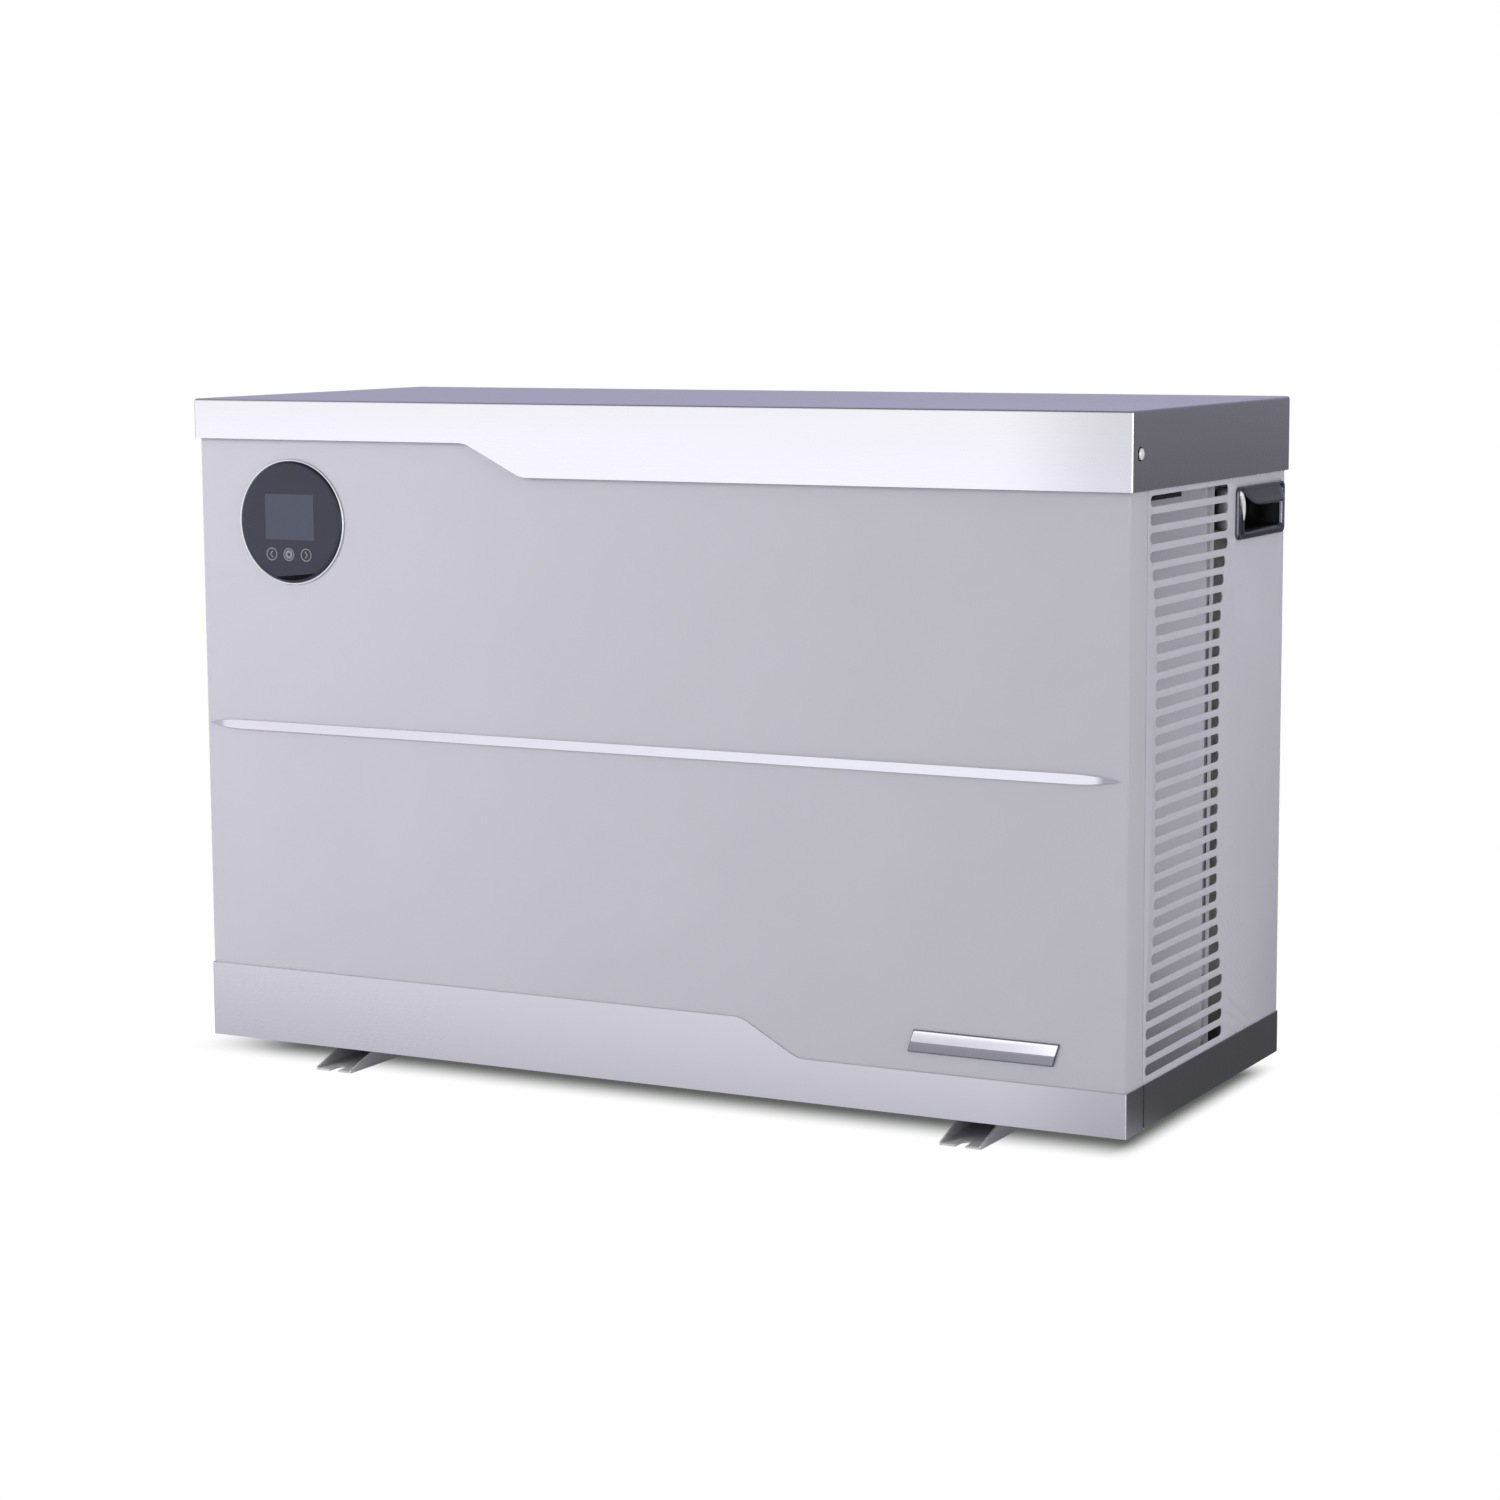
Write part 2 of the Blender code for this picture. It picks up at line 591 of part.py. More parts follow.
# ------------------------------------------------------------------ control panel on the front
turned(
    "controller_bezel", [(65.2, 4.9), (65.2, 4.0), (54, 4.0), (54, 4.9)],
    DISPLAY, ALONG_Y, CHROME, 32, closed=True,
)
turned(
    "controller_glass", [(0, 3.7), (61.8, 3.7), (61.8, 2.6), (60.2, 1.5), (57.0, 1.0), (0, 1.0)],
    DISPLAY, ALONG_Y, GLASS, 32,
)
box("controller_screen", (88, 4.0, 558.5), (148.5, 4.9, 605.5), SCREEN)
housing = turned(
    "controller_housing", [(0, 30), (49.8, 30), (49.8, 5.3), (47, 5.3), (47, 28), (0, 28)],
    DISPLAY, ALONG_Y, BLACK, 24,
)
x, _, z = DISPLAY
join(housing, box("housing_plug", (x - 18, 29, z - 30), (x + 18, 38, z - 12), BLACK))

# ------------------------------------------------------------------ fan
fan_x, fan_y, fan_z = FAN
DECK_INSET = 20  # deck edges, in from the lid's sides
deck = plate(
    "fan_deck",
    [rectangle(DECK_INSET, INNER_BOTTOM, LID_W - DECK_INSET, INNER_TOP),
     circle(fan_x, fan_z, RING_R + 4.5, 36)],
    SHEET, FRONTAL, (0, DECK_Y + SHEET / 2, 0), PAINT,
)
for side in ("right", "left"):
    lid_x, inward = SIDES[side]
    fold_x = lid_x + inward * (DECK_INSET + GAP)
    join(deck, box(
        f"deck_fold_{side}", (fold_x, DECK_Y + GAP, INNER_BOTTOM + FOLD_RELIEF),
        (fold_x + inward * SHEET, DECK_Y + 17, INNER_TOP - FOLD_RELIEF), PAINT,
    ))
turned(
    "fan_ring",
    [
        (RING_R + 3, 62), (RING_R + 3, 0), (RING_R + 18, -0.4), (RING_R + 18, -3.0),
        (RING_R + 12, -12), (RING_R + 9, -12), (RING_R + 4, -5), (RING_R, 4), (RING_R, 62),
    ],
    (fan_x, DECK_Y - 0.4, fan_z), ALONG_Y, PAINT, 36, closed=True,
)
# the hub has a bore for the shaft
hub = turned(
    "fan_propeller", [(50, 56), (54, 50), (54, 4), (48, 0), (6.4, 0), (6.4, 56)],
    FAN, ALONG_Y, BLACK, 24, closed=True,
)

BLADE_COUNT = 3
BLADE_ROOT_R = 50
BLADE_MIDDLE = 29  # mid-chord height along the fan's axis
BLADE_RISE = 62  # leading to trailing edge along the axis, at the root
BLADE_CAMBER = 6  # at the tip
BLADE_SWEEP = 0.42  # radians from root to tip
BLADE_WIDTH = 1.15  # radians at the root
TIP_ROUNDING = 20


def blade(index):
    """A swept and twisted blade, from a grid of radius one way and chord the other."""
    edit = bmesh.new()
    bmesh.ops.create_grid(edit, x_segments=7, y_segments=5, size=0.5)
    start = 2 * math.pi * index / BLADE_COUNT
    for vert in edit.verts:
        span, chord = vert.co.x + 0.5, vert.co.y + 0.5
        width = BLADE_WIDTH - 0.12 * span
        angle = start + BLADE_SWEEP * span**1.4 + width * (chord - 0.5)
        rise = (1 - 0.42 * span) * BLADE_RISE
        camber = BLADE_CAMBER * math.sin(math.pi * chord) * span
        height = BLADE_MIDDLE + rise * (chord - 0.5) + camber
        radius = BLADE_ROOT_R + (FAN_R - BLADE_ROOT_R) * span
        # the tip's corners are rounded off
        radius -= TIP_ROUNDING * span**6 * (2 * abs(chord - 0.5)) ** 3
        vert.co = Vector((
            metres(radius * math.cos(angle)), metres(radius * math.sin(angle)), metres(height),
        ))
    bmesh.ops.recalc_face_normals(edit, faces=edit.faces)
    name = f"blade_{index}"
    obj = add(name, new_mesh(name, edit), Matrix.Translation(place(*FAN)) @ ALONG_Y, BLACK)
    modify(obj, "skin", "SOLIDIFY", thickness=metres(3.0), offset=0.0)
    return obj


join(hub, *[blade(i) for i in range(BLADE_COUNT)])
shaft = turned(
    "fan_shaft",
    [
        (0, 118), (6, 118), (6, 116), (6, 106), (36, 106), (36, 76), (6, 76),
        (6, -12), (5, -13), (0, -13),
    ],
    FAN, ALONG_Y, GALVANISED, 16,
)
nut = rod("fan_hub_nut", 10.5, -9, -0.4, FAN, ALONG_Y, BRASS, 6)
cut(nut, rod("nut_bore", 6.35, -14, 6, FAN, ALONG_Y, BRASS))
pivot("fan_axis", FAN, hub, shaft, nut)
turned(
    "fan_motor",
    [
        (0, 124), (52, 124), (58, 116), (58, 76), (56, 70), (50, 66), (14, 62),
        (8.5, 62), (8.5, 70), (40, 70), (40, 120), (0, 120),
    ],
    FAN, ALONG_Y, GREY, 24,
)

# a cross plate on two upright channels, open to the rear
bracket = box(
    "motor_bracket", (fan_x - 75, 352.6, fan_z - 26), (fan_x + 75, 355.1, fan_z + 26), GALVANISED,
)
for i, offset in enumerate((-66, 46)):
    name, x = f"bracket_rail_{i}", fan_x + offset
    join(bracket, box(name, (x, 354.6, INNER_BOTTOM), (x + 20, 366, 695), GALVANISED))
    cut(bracket, box(name + "_inside", (x + 2, 357, FOOT_H), (x + 18, 380, 699), GALVANISED))

# ------------------------------------------------------------------ evaporator and partition
COIL_PLAN = [  # x, y: an L along the rear and up the right side
    (340, 372), (948, 372), (964, 356), (964, 268), (1004, 268),
    (1004, 388), (996, 404), (980, 412), (340, 412),
]
plate("evaporator_coil", [COIL_PLAN], 596, FLAT, (0, 0, 360), ALUMINIUM)
plate(
    "mid_partition",
    [
        rectangle(DECK_Y + 2, INNER_BOTTOM, 419, INNER_TOP),
        circle(GAS_Y, GAS_Z, 8, 10),
        circle(EXPANSION_VALVE[1], LIQUID_Z, 8, 10),
    ],
    SHEET, SIDEWAYS, (330.6, 0, 0), GALVANISED,
)

# ------------------------------------------------------------------ compressor and accumulator
x, y = COMPRESSOR
compressor = turned(
    "compressor",
    [
        (0, 332), (14, 332), (30, 326), (48, 314), (57, 300), (58, 292),
        (58, 92), (60, 88), (60, 60), (52, 54), (0, 54),
    ],
    (x, y, 0), FLAT, ENAMEL, 24,
)
MOUNT_PROFILE = [(0, 52.6), (8, 52.6), (12, 50), (9.5, 45), (13, 40), (13, 28.3), (0, 28.3)]
feet_outline = []
for i, angle in enumerate((90, 210, 330)):
    mount_x = x + 76 * math.cos(math.radians(angle))
    mount_y = y + 76 * math.sin(math.radians(angle))
    for turn in (-70, -25, 25, 70):
        feet_outline += arc(mount_x, mount_y, 13, angle + turn, 0, 1)[:1]
    turned(
        f"compressor_mount_{i + 1}", MOUNT_PROFILE, (mount_x, mount_y, 0), FLAT, RUBBER, 12,
    )
join(
    compressor,
    plate("compressor_feet", [feet_outline], 4, FLAT, (0, 0, 55), ENAMEL),
    box("terminal_cap", (x - 16, y - 68, 232), (x + 16, y - 54, 276), ENAMEL),
)
turned(
    "accumulator",
    [
        (0, 262), (9, 261), (19, 254), (23, 244), (23, 108), (19, 98), (9, 91), (0, 90),
    ],
    (*ACCUMULATOR, 0), FLAT, ENAMEL,
    16,
)

# ------------------------------------------------------------------ valves
valve_x, valve_y, valve_z = REVERSING_VALVE
STUB_LOW, STUB_HIGH = valve_z - 28, valve_z + 28  # outer ends of the stubs
valve = rod("reversing_valve", 14, -58, 58, REVERSING_VALVE, ALONG_X, BRASS, 14)
STUBS = [  # x offset, bottom, top
    (-STUB_PITCH, STUB_LOW, 392), (0, STUB_LOW, 392), (STUB_PITCH, STUB_LOW, 392),
    (0, 408, STUB_HIGH),
]
for i, (offset, bottom, top) in enumerate(STUBS):
    origin = (valve_x + offset, valve_y, 0)
    join(valve, rod(f"valve_stub_{i}", 7.5, bottom, top, origin, FLAT, BRASS, 10))
join(valve, box(
    "pilot_coil", (valve_x - 18, 362, valve_z - 14), (valve_x + 18, 384, valve_z + 14), BLACK,
))

TAIL_LOW, TAIL_HIGH = 376, 448
origin = (*EXPANSION_VALVE, 0)
expansion = rod("expansion_valve", 10, 384, 428, origin, FLAT, BRASS, 12)
join(
    expansion,
    rod("valve_coil", 20, 405, 436, origin, FLAT, BLACK),
    rod("valve_tail", 6.5, TAIL_LOW, TAIL_HIGH, origin, FLAT, BRASS, 10),
)

# ------------------------------------------------------------------ refrigerant lines
low_joint, high_joint = STUB_LOW - JOINT_GAP, STUB_HIGH + JOINT_GAP
coil_joint = TITANIUM_TOP + JOINT_GAP
exchanger_x, exchanger_y = EXCHANGER
expansion_x, expansion_y = EXPANSION_VALVE

DISCHARGE = (205, 322)  # where the line leaves the compressor
DISCHARGE_TOP = 452
pipe("discharge_pipe", [
    (*DISCHARGE, 333), (*DISCHARGE, DISCHARGE_TOP), (valve_x, DISCHARGE[1], DISCHARGE_TOP),
    (valve_x, valve_y, DISCHARGE_TOP), (valve_x, valve_y, high_joint),
], 4.8, COPPER, bend=11)

SUCTION_Z = 341
pipe("suction_pipe", [
    (valve_x, valve_y, low_joint), (valve_x, valve_y, SUCTION_Z),
    (ACCUMULATOR[0], valve_y, SUCTION_Z), (*ACCUMULATOR, SUCTION_Z), (*ACCUMULATOR, 262.8),
], 5.5, COPPER)

stub_x = valve_x + STUB_PITCH
pipe("evaporator_gas_pipe", [
    (stub_x, valve_y, low_joint), (stub_x, valve_y, GAS_Z),
    (stub_x, GAS_Y, GAS_Z), (339.4, GAS_Y, GAS_Z),
], 5.2, COPPER, bend=8)

stub_x = valve_x - STUB_PITCH
coil_x = exchanger_x + HELIX_R
DROP_X, GAS_TOP = 176, 512
pipe("exchanger_gas_pipe", [
    (coil_x, exchanger_y, coil_joint), (coil_x, exchanger_y, GAS_TOP),
    (DROP_X, exchanger_y, GAS_TOP), (DROP_X, exchanger_y, GAS_Z), (DROP_X, valve_y, GAS_Z),
    (stub_x, valve_y, GAS_Z), (stub_x, valve_y, low_joint),
], 5.2, COPPER, bend=8)

LIQUID_TOP = 524
pipe("liquid_pipe", [
    (*EXCHANGER, coil_joint), (*EXCHANGER, LIQUID_TOP), (exchanger_x, expansion_y, LIQUID_TOP),
    (*EXPANSION_VALVE, LIQUID_TOP), (*EXPANSION_VALVE, TAIL_HIGH + JOINT_GAP),
], 4.2, COPPER)

DISTRIBUTOR_X = 362
pipe("distributor_pipe", [
    (*EXPANSION_VALVE, TAIL_LOW - JOINT_GAP), (*EXPANSION_VALVE, LIQUID_Z),
    (DISTRIBUTOR_X, expansion_y, LIQUID_Z), (DISTRIBUTOR_X, 371.4, LIQUID_Z),
], 4.2, COPPER, bend=7)

# ------------------------------------------------------------------ heat exchanger
origin = (*EXCHANGER, 0)
shell = turned(
    "exchanger_shell",
    [(0, 474), (40, 474), (56, 466), (62, 452), (62, 66), (56, 50), (40, 44), (0, 44)],
    origin, FLAT, WHITE, 24,
)
for i, z in enumerate(PORT_Z.values()):
    join(shell, rod(f"port_{i}", 27, 50, 76, (*EXCHANGER, z), ALONG_Y, WHITE, 18))
cut(shell, turned(
    "exchanger_cavity",
    [(0, 468), (38, 468), (52, 461), (57, 450), (57, 68), (52, 56), (38, 50), (0, 50)],
    origin, FLAT, WHITE, 20,
))
for i, z in enumerate(PORT_Z.values()):
    cut(shell, rod(f"port_bore_{i}", 21, 40, 90, (*EXCHANGER, z), ALONG_Y, WHITE))
cut(
    shell,
    rod("gas_hole", 8, 455, 490, (coil_x, exchanger_y, 0), FLAT, WHITE, 12),
    rod("liquid_hole", 8, 455, 490, origin, FLAT, WHITE, 12),
)


def titanium_path(turns=7, per_turn=8, bottom=84.0, top=430.0):
    """Down the middle, out to the helix at the bottom, round to the top, and out of the shell."""
    x, y = EXCHANGER
    path = [
        (x, y, TITANIUM_TOP), (x, y, bottom), (x, y, 74.0), (x + 10, y, 66.0), (x + 30, y, 70.0),
    ]
    count = turns * per_turn
    for i in range(count + 1):
        angle = 2 * math.pi * i / per_turn
        path.append((
            x + HELIX_R * math.cos(angle), y + HELIX_R * math.sin(angle),
            bottom + (top - bottom) * i / count,
        ))
    return path + [(x + HELIX_R, y, 445.0), (x + HELIX_R, y, TITANIUM_TOP)]


pipe("titanium_coil", titanium_path(), 6.0, TITANIUM, bend=0, resolution=1)

# ------------------------------------------------------------------ water connections
# profiles along y: radius, y
WATER_PIPE_PROFILE = [
    (26.5, 440), (31.5, 439), (31.5, 426), (29, 425.6),
    (26.5, 422), (26.5, 395), (21.5, 395), (21.5, 440),
]
# a socket tail that the pool pipe is glued into, held by the union nut
TAIL_PROFILE = [
    (29.5, UNION_END), (29.5, 448), (31.2, 446), (31.2, 440.4),
    (21.5, 440.4), (21.5, 448), (25.1, 448), (25.1, UNION_END),
]
UNION_NUT_PROFILE = [
    (39, 459), (39, 431), (37, 429), (32.2, 429), (32.2, 447.2), (30.2, 449), (30.2, 461),
    (37, 461),
]


def water_port(port, z):
    def fitting(name, profile, finish):
        return turned(name, profile, (UNION_X, 0, z), ALONG_Y, finish, closed=True)

    tube = fitting(f"water_{port}_pipe", WATER_PIPE_PROFILE, WHITE)
    if port == "inlet":
        cut(tube, rod("switch_hole", 8.2, 10, 40, (UNION_X, SWITCH_Y, z), FLAT, WHITE, 12))
    fitting(f"{port}_union_tail", TAIL_PROFILE, GREY)
    union_nut = fitting(f"{port}_union_nut", UNION_NUT_PROFILE, GREY)
    pivot(f"{port}_nut_axis", (UNION_X, 445, z), union_nut)


for port, z in PORT_Z.items():
    water_port(port, z)

# flow switch on the inlet pipe, with a paddle hung in its fork
x, z = UNION_X, PORT_Z["inlet"]
switch = rod("flow_switch", 7.6, z + 22.5, z + 42, (x, SWITCH_Y, 0), FLAT, GREY, 12)
join(switch, box("switch_body", (x - 14, 397, z + 34), (x + 14, 421, z + 60), GREY))
cut(switch, box("switch_fork", (x - 2.2, 400, z + 15), (x + 2.2, 420, z + 30.5), GREY))
paddle = box("flow_paddle", (x - 1.5, 408.6, z + 2), (x + 1.5, 411.4, z + 28), TITANIUM)
join(paddle, box("paddle_blade", (x - 9, 409.4, z - 13), (x + 9, 410.6, z + 8), TITANIUM))
pivot("paddle_axis", (x, SWITCH_Y, z + 26), paddle)

# ------------------------------------------------------------------ electrics
folded(
    "electrical_box", (46, 254, 540), (322, 414, 650), ("-x", "+x", "-y", "+y", "-z"),
    1.5, GALVANISED,
)
board = box("control_board", (62, 268, 550), (232, 402, 552), BOARD)
PART_Z = 551  # board parts start inside the board's thickness
join(
    board,
    box("inverter_sink", (74, 280, PART_Z), (134, 336, 584), ALUMINIUM),
    rod("capacitor_a", 15, PART_Z, 590, (170, 300, 0), FLAT, BLACK, 12),
    rod("capacitor_b", 15, PART_Z, 590, (206, 300, 0), FLAT, BLACK, 12),
    box("relay_a", (150, 350, PART_Z), (180, 374, 570), BLACK),
    box("relay_b", (190, 350, PART_Z), (220, 374, 570), BLACK),
)
cut(board, box("board_feet", (60, 266, 540), (80, 290, 549), BOARD))

BAY_PITCH, BAY_W = 12.6, 9.6
terminal = box("terminal_block", (246, 372, 542), (312, 398, 562), BLACK)
for i in range(5):
    x = 249 + i * BAY_PITCH
    cut(terminal, box(f"terminal_bay_{i}", (x, 368, 553), (x + BAY_W, 389, 566), BLACK))
turned(
    "cable_gland",
    [
        (12.5, 436), (14, 434), (14, 425), (9, 424.6), (9, 418),
        (5.2, 418), (5.2, 442), (8, 442),
    ],
    (GLAND_X, 0, GLAND_Z), ALONG_Y, BLACK, 12, closed=True,
)

# ------------------------------------------------------------------ pressure gauge, rear panel
gauge_axis = (GAUGE_X, 0, GAUGE_Z)
turned(
    "gauge_body",
    [
        (0, 427), (1.6, 427), (1.6, 424), (25.4, 424), (25.4, 432.5), (27.6, 432.5),
        (27.6, 434.5), (29, 434.5), (31, 433), (31, 424.8), (27, 424.8), (27, 404), (0, 404),
    ],
    gauge_axis, ALONG_Y, CHROME, 24,
)
NEEDLE = [  # x, z about the spindle, before the needle is turned to its reading
    (-1.6, -7), (1.6, -7), (2.6, 0), (1.0, 19), (0, 21), (-1.0, 19), (-2.6, 0),
]
spindle = (GAUGE_X, 428.2, GAUGE_Z)
needle = plate("gauge_needle", [NEEDLE], 0.8, FRONTAL, spindle, RED)
needle.matrix_world = needle.matrix_world @ Matrix.Rotation(math.radians(135), 4, "Z")
pivot("needle_axis", spindle, needle)
rod("gauge_lens", 27.2, 432.9, 434.3, gauge_axis, ALONG_Y, LENS, 24)
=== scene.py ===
"""Looks of a pool heat pump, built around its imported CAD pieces.

Every piece lies in the row frame, in metres. The helpers take cabinet millimetres instead:
x runs right from the lid's left face, y runs back from the lid's front face, and z runs up
from the floor. `point` turns cabinet millimetres into the row frame.
"""

import math
from functools import reduce

import bmesh
import bpy
from mathutils import Matrix, Vector


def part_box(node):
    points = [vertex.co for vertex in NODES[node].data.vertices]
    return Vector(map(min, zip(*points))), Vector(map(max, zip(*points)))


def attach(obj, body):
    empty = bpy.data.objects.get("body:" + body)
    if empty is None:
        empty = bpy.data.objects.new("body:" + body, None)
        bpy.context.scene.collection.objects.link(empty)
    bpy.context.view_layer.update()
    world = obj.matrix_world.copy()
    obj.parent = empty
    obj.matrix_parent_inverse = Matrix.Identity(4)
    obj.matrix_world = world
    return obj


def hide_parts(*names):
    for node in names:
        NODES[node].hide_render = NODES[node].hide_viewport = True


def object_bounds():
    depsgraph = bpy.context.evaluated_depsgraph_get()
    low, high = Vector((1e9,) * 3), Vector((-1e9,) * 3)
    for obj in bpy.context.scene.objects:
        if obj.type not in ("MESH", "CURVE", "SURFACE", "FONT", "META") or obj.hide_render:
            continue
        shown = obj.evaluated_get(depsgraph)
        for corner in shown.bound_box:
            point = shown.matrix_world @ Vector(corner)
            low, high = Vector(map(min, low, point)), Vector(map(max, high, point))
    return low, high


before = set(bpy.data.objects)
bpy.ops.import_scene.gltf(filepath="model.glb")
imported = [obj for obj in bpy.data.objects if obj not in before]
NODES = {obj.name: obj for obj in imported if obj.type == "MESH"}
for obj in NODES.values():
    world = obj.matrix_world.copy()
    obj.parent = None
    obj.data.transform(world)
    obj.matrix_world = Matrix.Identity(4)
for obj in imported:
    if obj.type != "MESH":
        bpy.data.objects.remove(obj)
cad_low, cad_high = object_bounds()
scene = bpy.context.scene
BODY = "cabinet"
SIDES = ("left", "right")

lid_low, lid_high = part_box("top_lid")
TOP = 703.0  # height of the lid's top
ORIGIN = Vector((lid_low.x, lid_low.y, lid_high.z - 0.703))
WIDTH = (lid_high.x - lid_low.x) * 1000
DEPTH = (lid_high.y - lid_low.y) * 1000


def point(x, y, z):
    """Cabinet millimetres to the row frame."""
    return ORIGIN + Vector((x, y, z)) / 1000


def x_at(x):
    return point(x, 0, 0).x


def y_at(y):
    return point(0, y, 0).y


def cad_box(node):
    """Lowest and highest corner of a CAD piece, in cabinet millimetres."""
    return [tuple((Vector(corner) - ORIGIN) * 1000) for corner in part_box(node)]


def cad_centre(node):
    low, high = cad_box(node)
    return [(a + b) / 2 for a, b in zip(low, high)]


# ------------------------------------------------------------------ shader node helpers
def scaled(colour, factor):
    return tuple(min(1.0, channel * factor) for channel in colour)


class Graph:
    """Short calls that add and link the nodes of one tree."""

    def __init__(self, tree):
        self.tree = tree
        self.bsdf = tree.nodes.get("Principled BSDF")

    def plug(self, socket, value):
        """Links value if it is a socket, and stores it otherwise."""
        if isinstance(value, bpy.types.NodeSocket):
            self.tree.links.new(value, socket)
        else:
            socket.default_value = value

    def shade(self, **inputs):
        """Sets inputs of the Principled node; underscores stand for spaces."""
        for key, value in inputs.items():
            self.plug(self.bsdf.inputs[key.replace("_", " ")], value)

    def add(self, kind, sockets=(), **props):
        made = self.tree.nodes.new("ShaderNode" + kind)
        for key, value in props.items():
            setattr(made, key, value)
        for key, value in dict(sockets).items():
            self.plug(made.inputs[key], value)
        return made

    def mapped(self, scale=(1, 1, 1)):
        coord = self.add("TexCoord").outputs["Object"]
        return self.add("Mapping", {"Vector": coord, "Scale": scale}).outputs["Vector"]

    def noise(self, scale, detail=3.0, roughness=0.55, at=None):
        """Noise over object space, or over the coordinates `at`."""
        vector = self.mapped() if at is None else at
        sockets = {"Vector": vector, "Scale": scale, "Detail": detail, "Roughness": roughness}
        return self.add("TexNoise", sockets).outputs["Fac"]

    def remap(self, value, low, high, start=0.0, stop=1.0, kind="LINEAR"):
        """Maps start..stop onto low..high."""
        ends = {"From Min": start, "From Max": stop, "To Min": low, "To Max": high}
        made = self.add("MapRange", {"Value": value, **ends}, interpolation_type=kind)
        return made.outputs["Result"]

    def fade(self, value, start, stop, low=0.0, high=1.0):
        return self.remap(value, low, high, start, stop, "SMOOTHSTEP")

    def calc(self, operation, *values):
        return self.add("Math", dict(enumerate(values)), operation=operation).outputs[0]

    def times(self, *values):
        return reduce(lambda a, b: self.calc("MULTIPLY", a, b), values)

    def split(self, vector):
        return self.add("SeparateXYZ", {0: vector}).outputs

    def position(self, kind="Object"):
        return self.split(self.add("TexCoord").outputs[kind])

    def normal(self):
        return self.split(self.add("NewGeometry").outputs["Normal"])

    def mix(self, kind, factor, a, b, blend="MIX"):
        first = {"FLOAT": 2, "VECTOR": 4, "RGBA": 6}[kind]  # index of the first input of a kind
        sockets = {"Factor": factor, first: a, first + 1: b}
        made = self.add("Mix", sockets, data_type=kind, blend_type=blend)
        return made.outputs[first // 2 - 1]

    def colour(self, factor, a, b, blend="MIX"):
        a, b = ((*c, 1.0) if isinstance(c, tuple) else c for c in (a, b))
        return self.mix("RGBA", factor, a, b, blend)

    def ramp(self, factor, stops):
        """A ramp of (position, grey) stops."""
        made = self.add("ValToRGB")
        elements = made.color_ramp.elements
        while len(elements) < len(stops):
            elements.new(0.5)
        for element, (position, grey) in zip(elements, stops):
            element.position = position
            element.color = (grey,) * 3 + (1.0,)
        self.plug(made.inputs["Fac"], factor)
        return made.outputs["Color"]

    def bump(self, height, distance, strength):
        sockets = {"Distance": distance, "Strength": strength, "Height": height}
        self.shade(Normal=self.add("Bump", sockets).outputs["Normal"])

    def mix_shader(self, factor, a, b):
        return self.add("MixShader", {0: factor, 1: a, 2: b}).outputs[0]


def new_material(name, **inputs):
    material = bpy.data.materials.new(name)
    material.use_nodes = True
    graph = Graph(material.node_tree)
    graph.shade(**inputs)
    return material, graph


# ------------------------------------------------------------------ kinds of material
def side_mask(graph):
    """1 on faces that look along x, 0 elsewhere."""
    return graph.calc("GREATER_THAN", graph.calc("ABSOLUTE", graph.normal()["X"]), 0.6)


def flat_mask(graph):
    """1 on faces that lie square to an axis, 0 on the folds between them."""
    facing = graph.normal()
    sizes = [graph.calc("ABSOLUTE", facing[axis]) for axis in "XYZ"]
    largest = reduce(lambda a, b: graph.calc("MAXIMUM", a, b), sizes)
    return graph.fade(largest, 0.97, 0.998)


def right_end(graph):
    """Painted shade: white, greying towards the right end of the front faces."""
    place, facing = graph.position()["X"], graph.normal()["Y"]
    along = graph.fade(place, x_at(905), x_at(1046))
    forward = graph.fade(facing, -0.8, -0.97)
    return graph.colour(graph.times(along, forward), (1.0, 1.0, 1.0), (0.76, 0.765, 0.775))


def brushed(name, colour, rough):
    """Brushed sheet: streaks along x, upright on the side faces, a directional gloss, and painted
    shade greying the right end of the front faces.
    """
    material, graph = new_material(name, Metallic=1.0, Anisotropic=0.55)
    mask = side_mask(graph)
    along_x, upright = graph.mapped((0.25, 900, 900)), graph.mapped((900, 540, 0.25))
    fine = graph.noise(1.0, 3.0, 0.6, at=graph.mix("VECTOR", mask, along_x, upright))
    along_x, upright = graph.mapped((1.2, 60, 60)), graph.mapped((90, 90, 1.2))
    wide = graph.noise(1.0, 2.0, at=graph.mix("VECTOR", mask, along_x, upright))
    cloud = graph.noise(2.4, 2.0)
    fine = graph.mix("FLOAT", flat_mask(graph), 0.5, fine)
    streaks = graph.colour(fine, scaled(colour, 1 - 0.028), colour)
    base = graph.colour(graph.remap(wide, 0.0, 0.35), streaks, scaled(colour, 0.97))
    gloss = graph.remap(fine, rough - 0.01, rough + 0.02)
    graph.shade(
        # painted shade: the base colour greys towards the right end of the front faces
        Base_Color=graph.colour(1.0, base, right_end(graph), "MULTIPLY"),
        Roughness=graph.calc("ADD", gloss, graph.remap(cloud, -0.02, 0.03)),
        Tangent=graph.mix("VECTOR", mask, (1.0, 0.0, 0.0), (0.0, 0.0, 1.0)),
    )
    graph.bump(fine, distance=0.00001, strength=0.4)
    return material


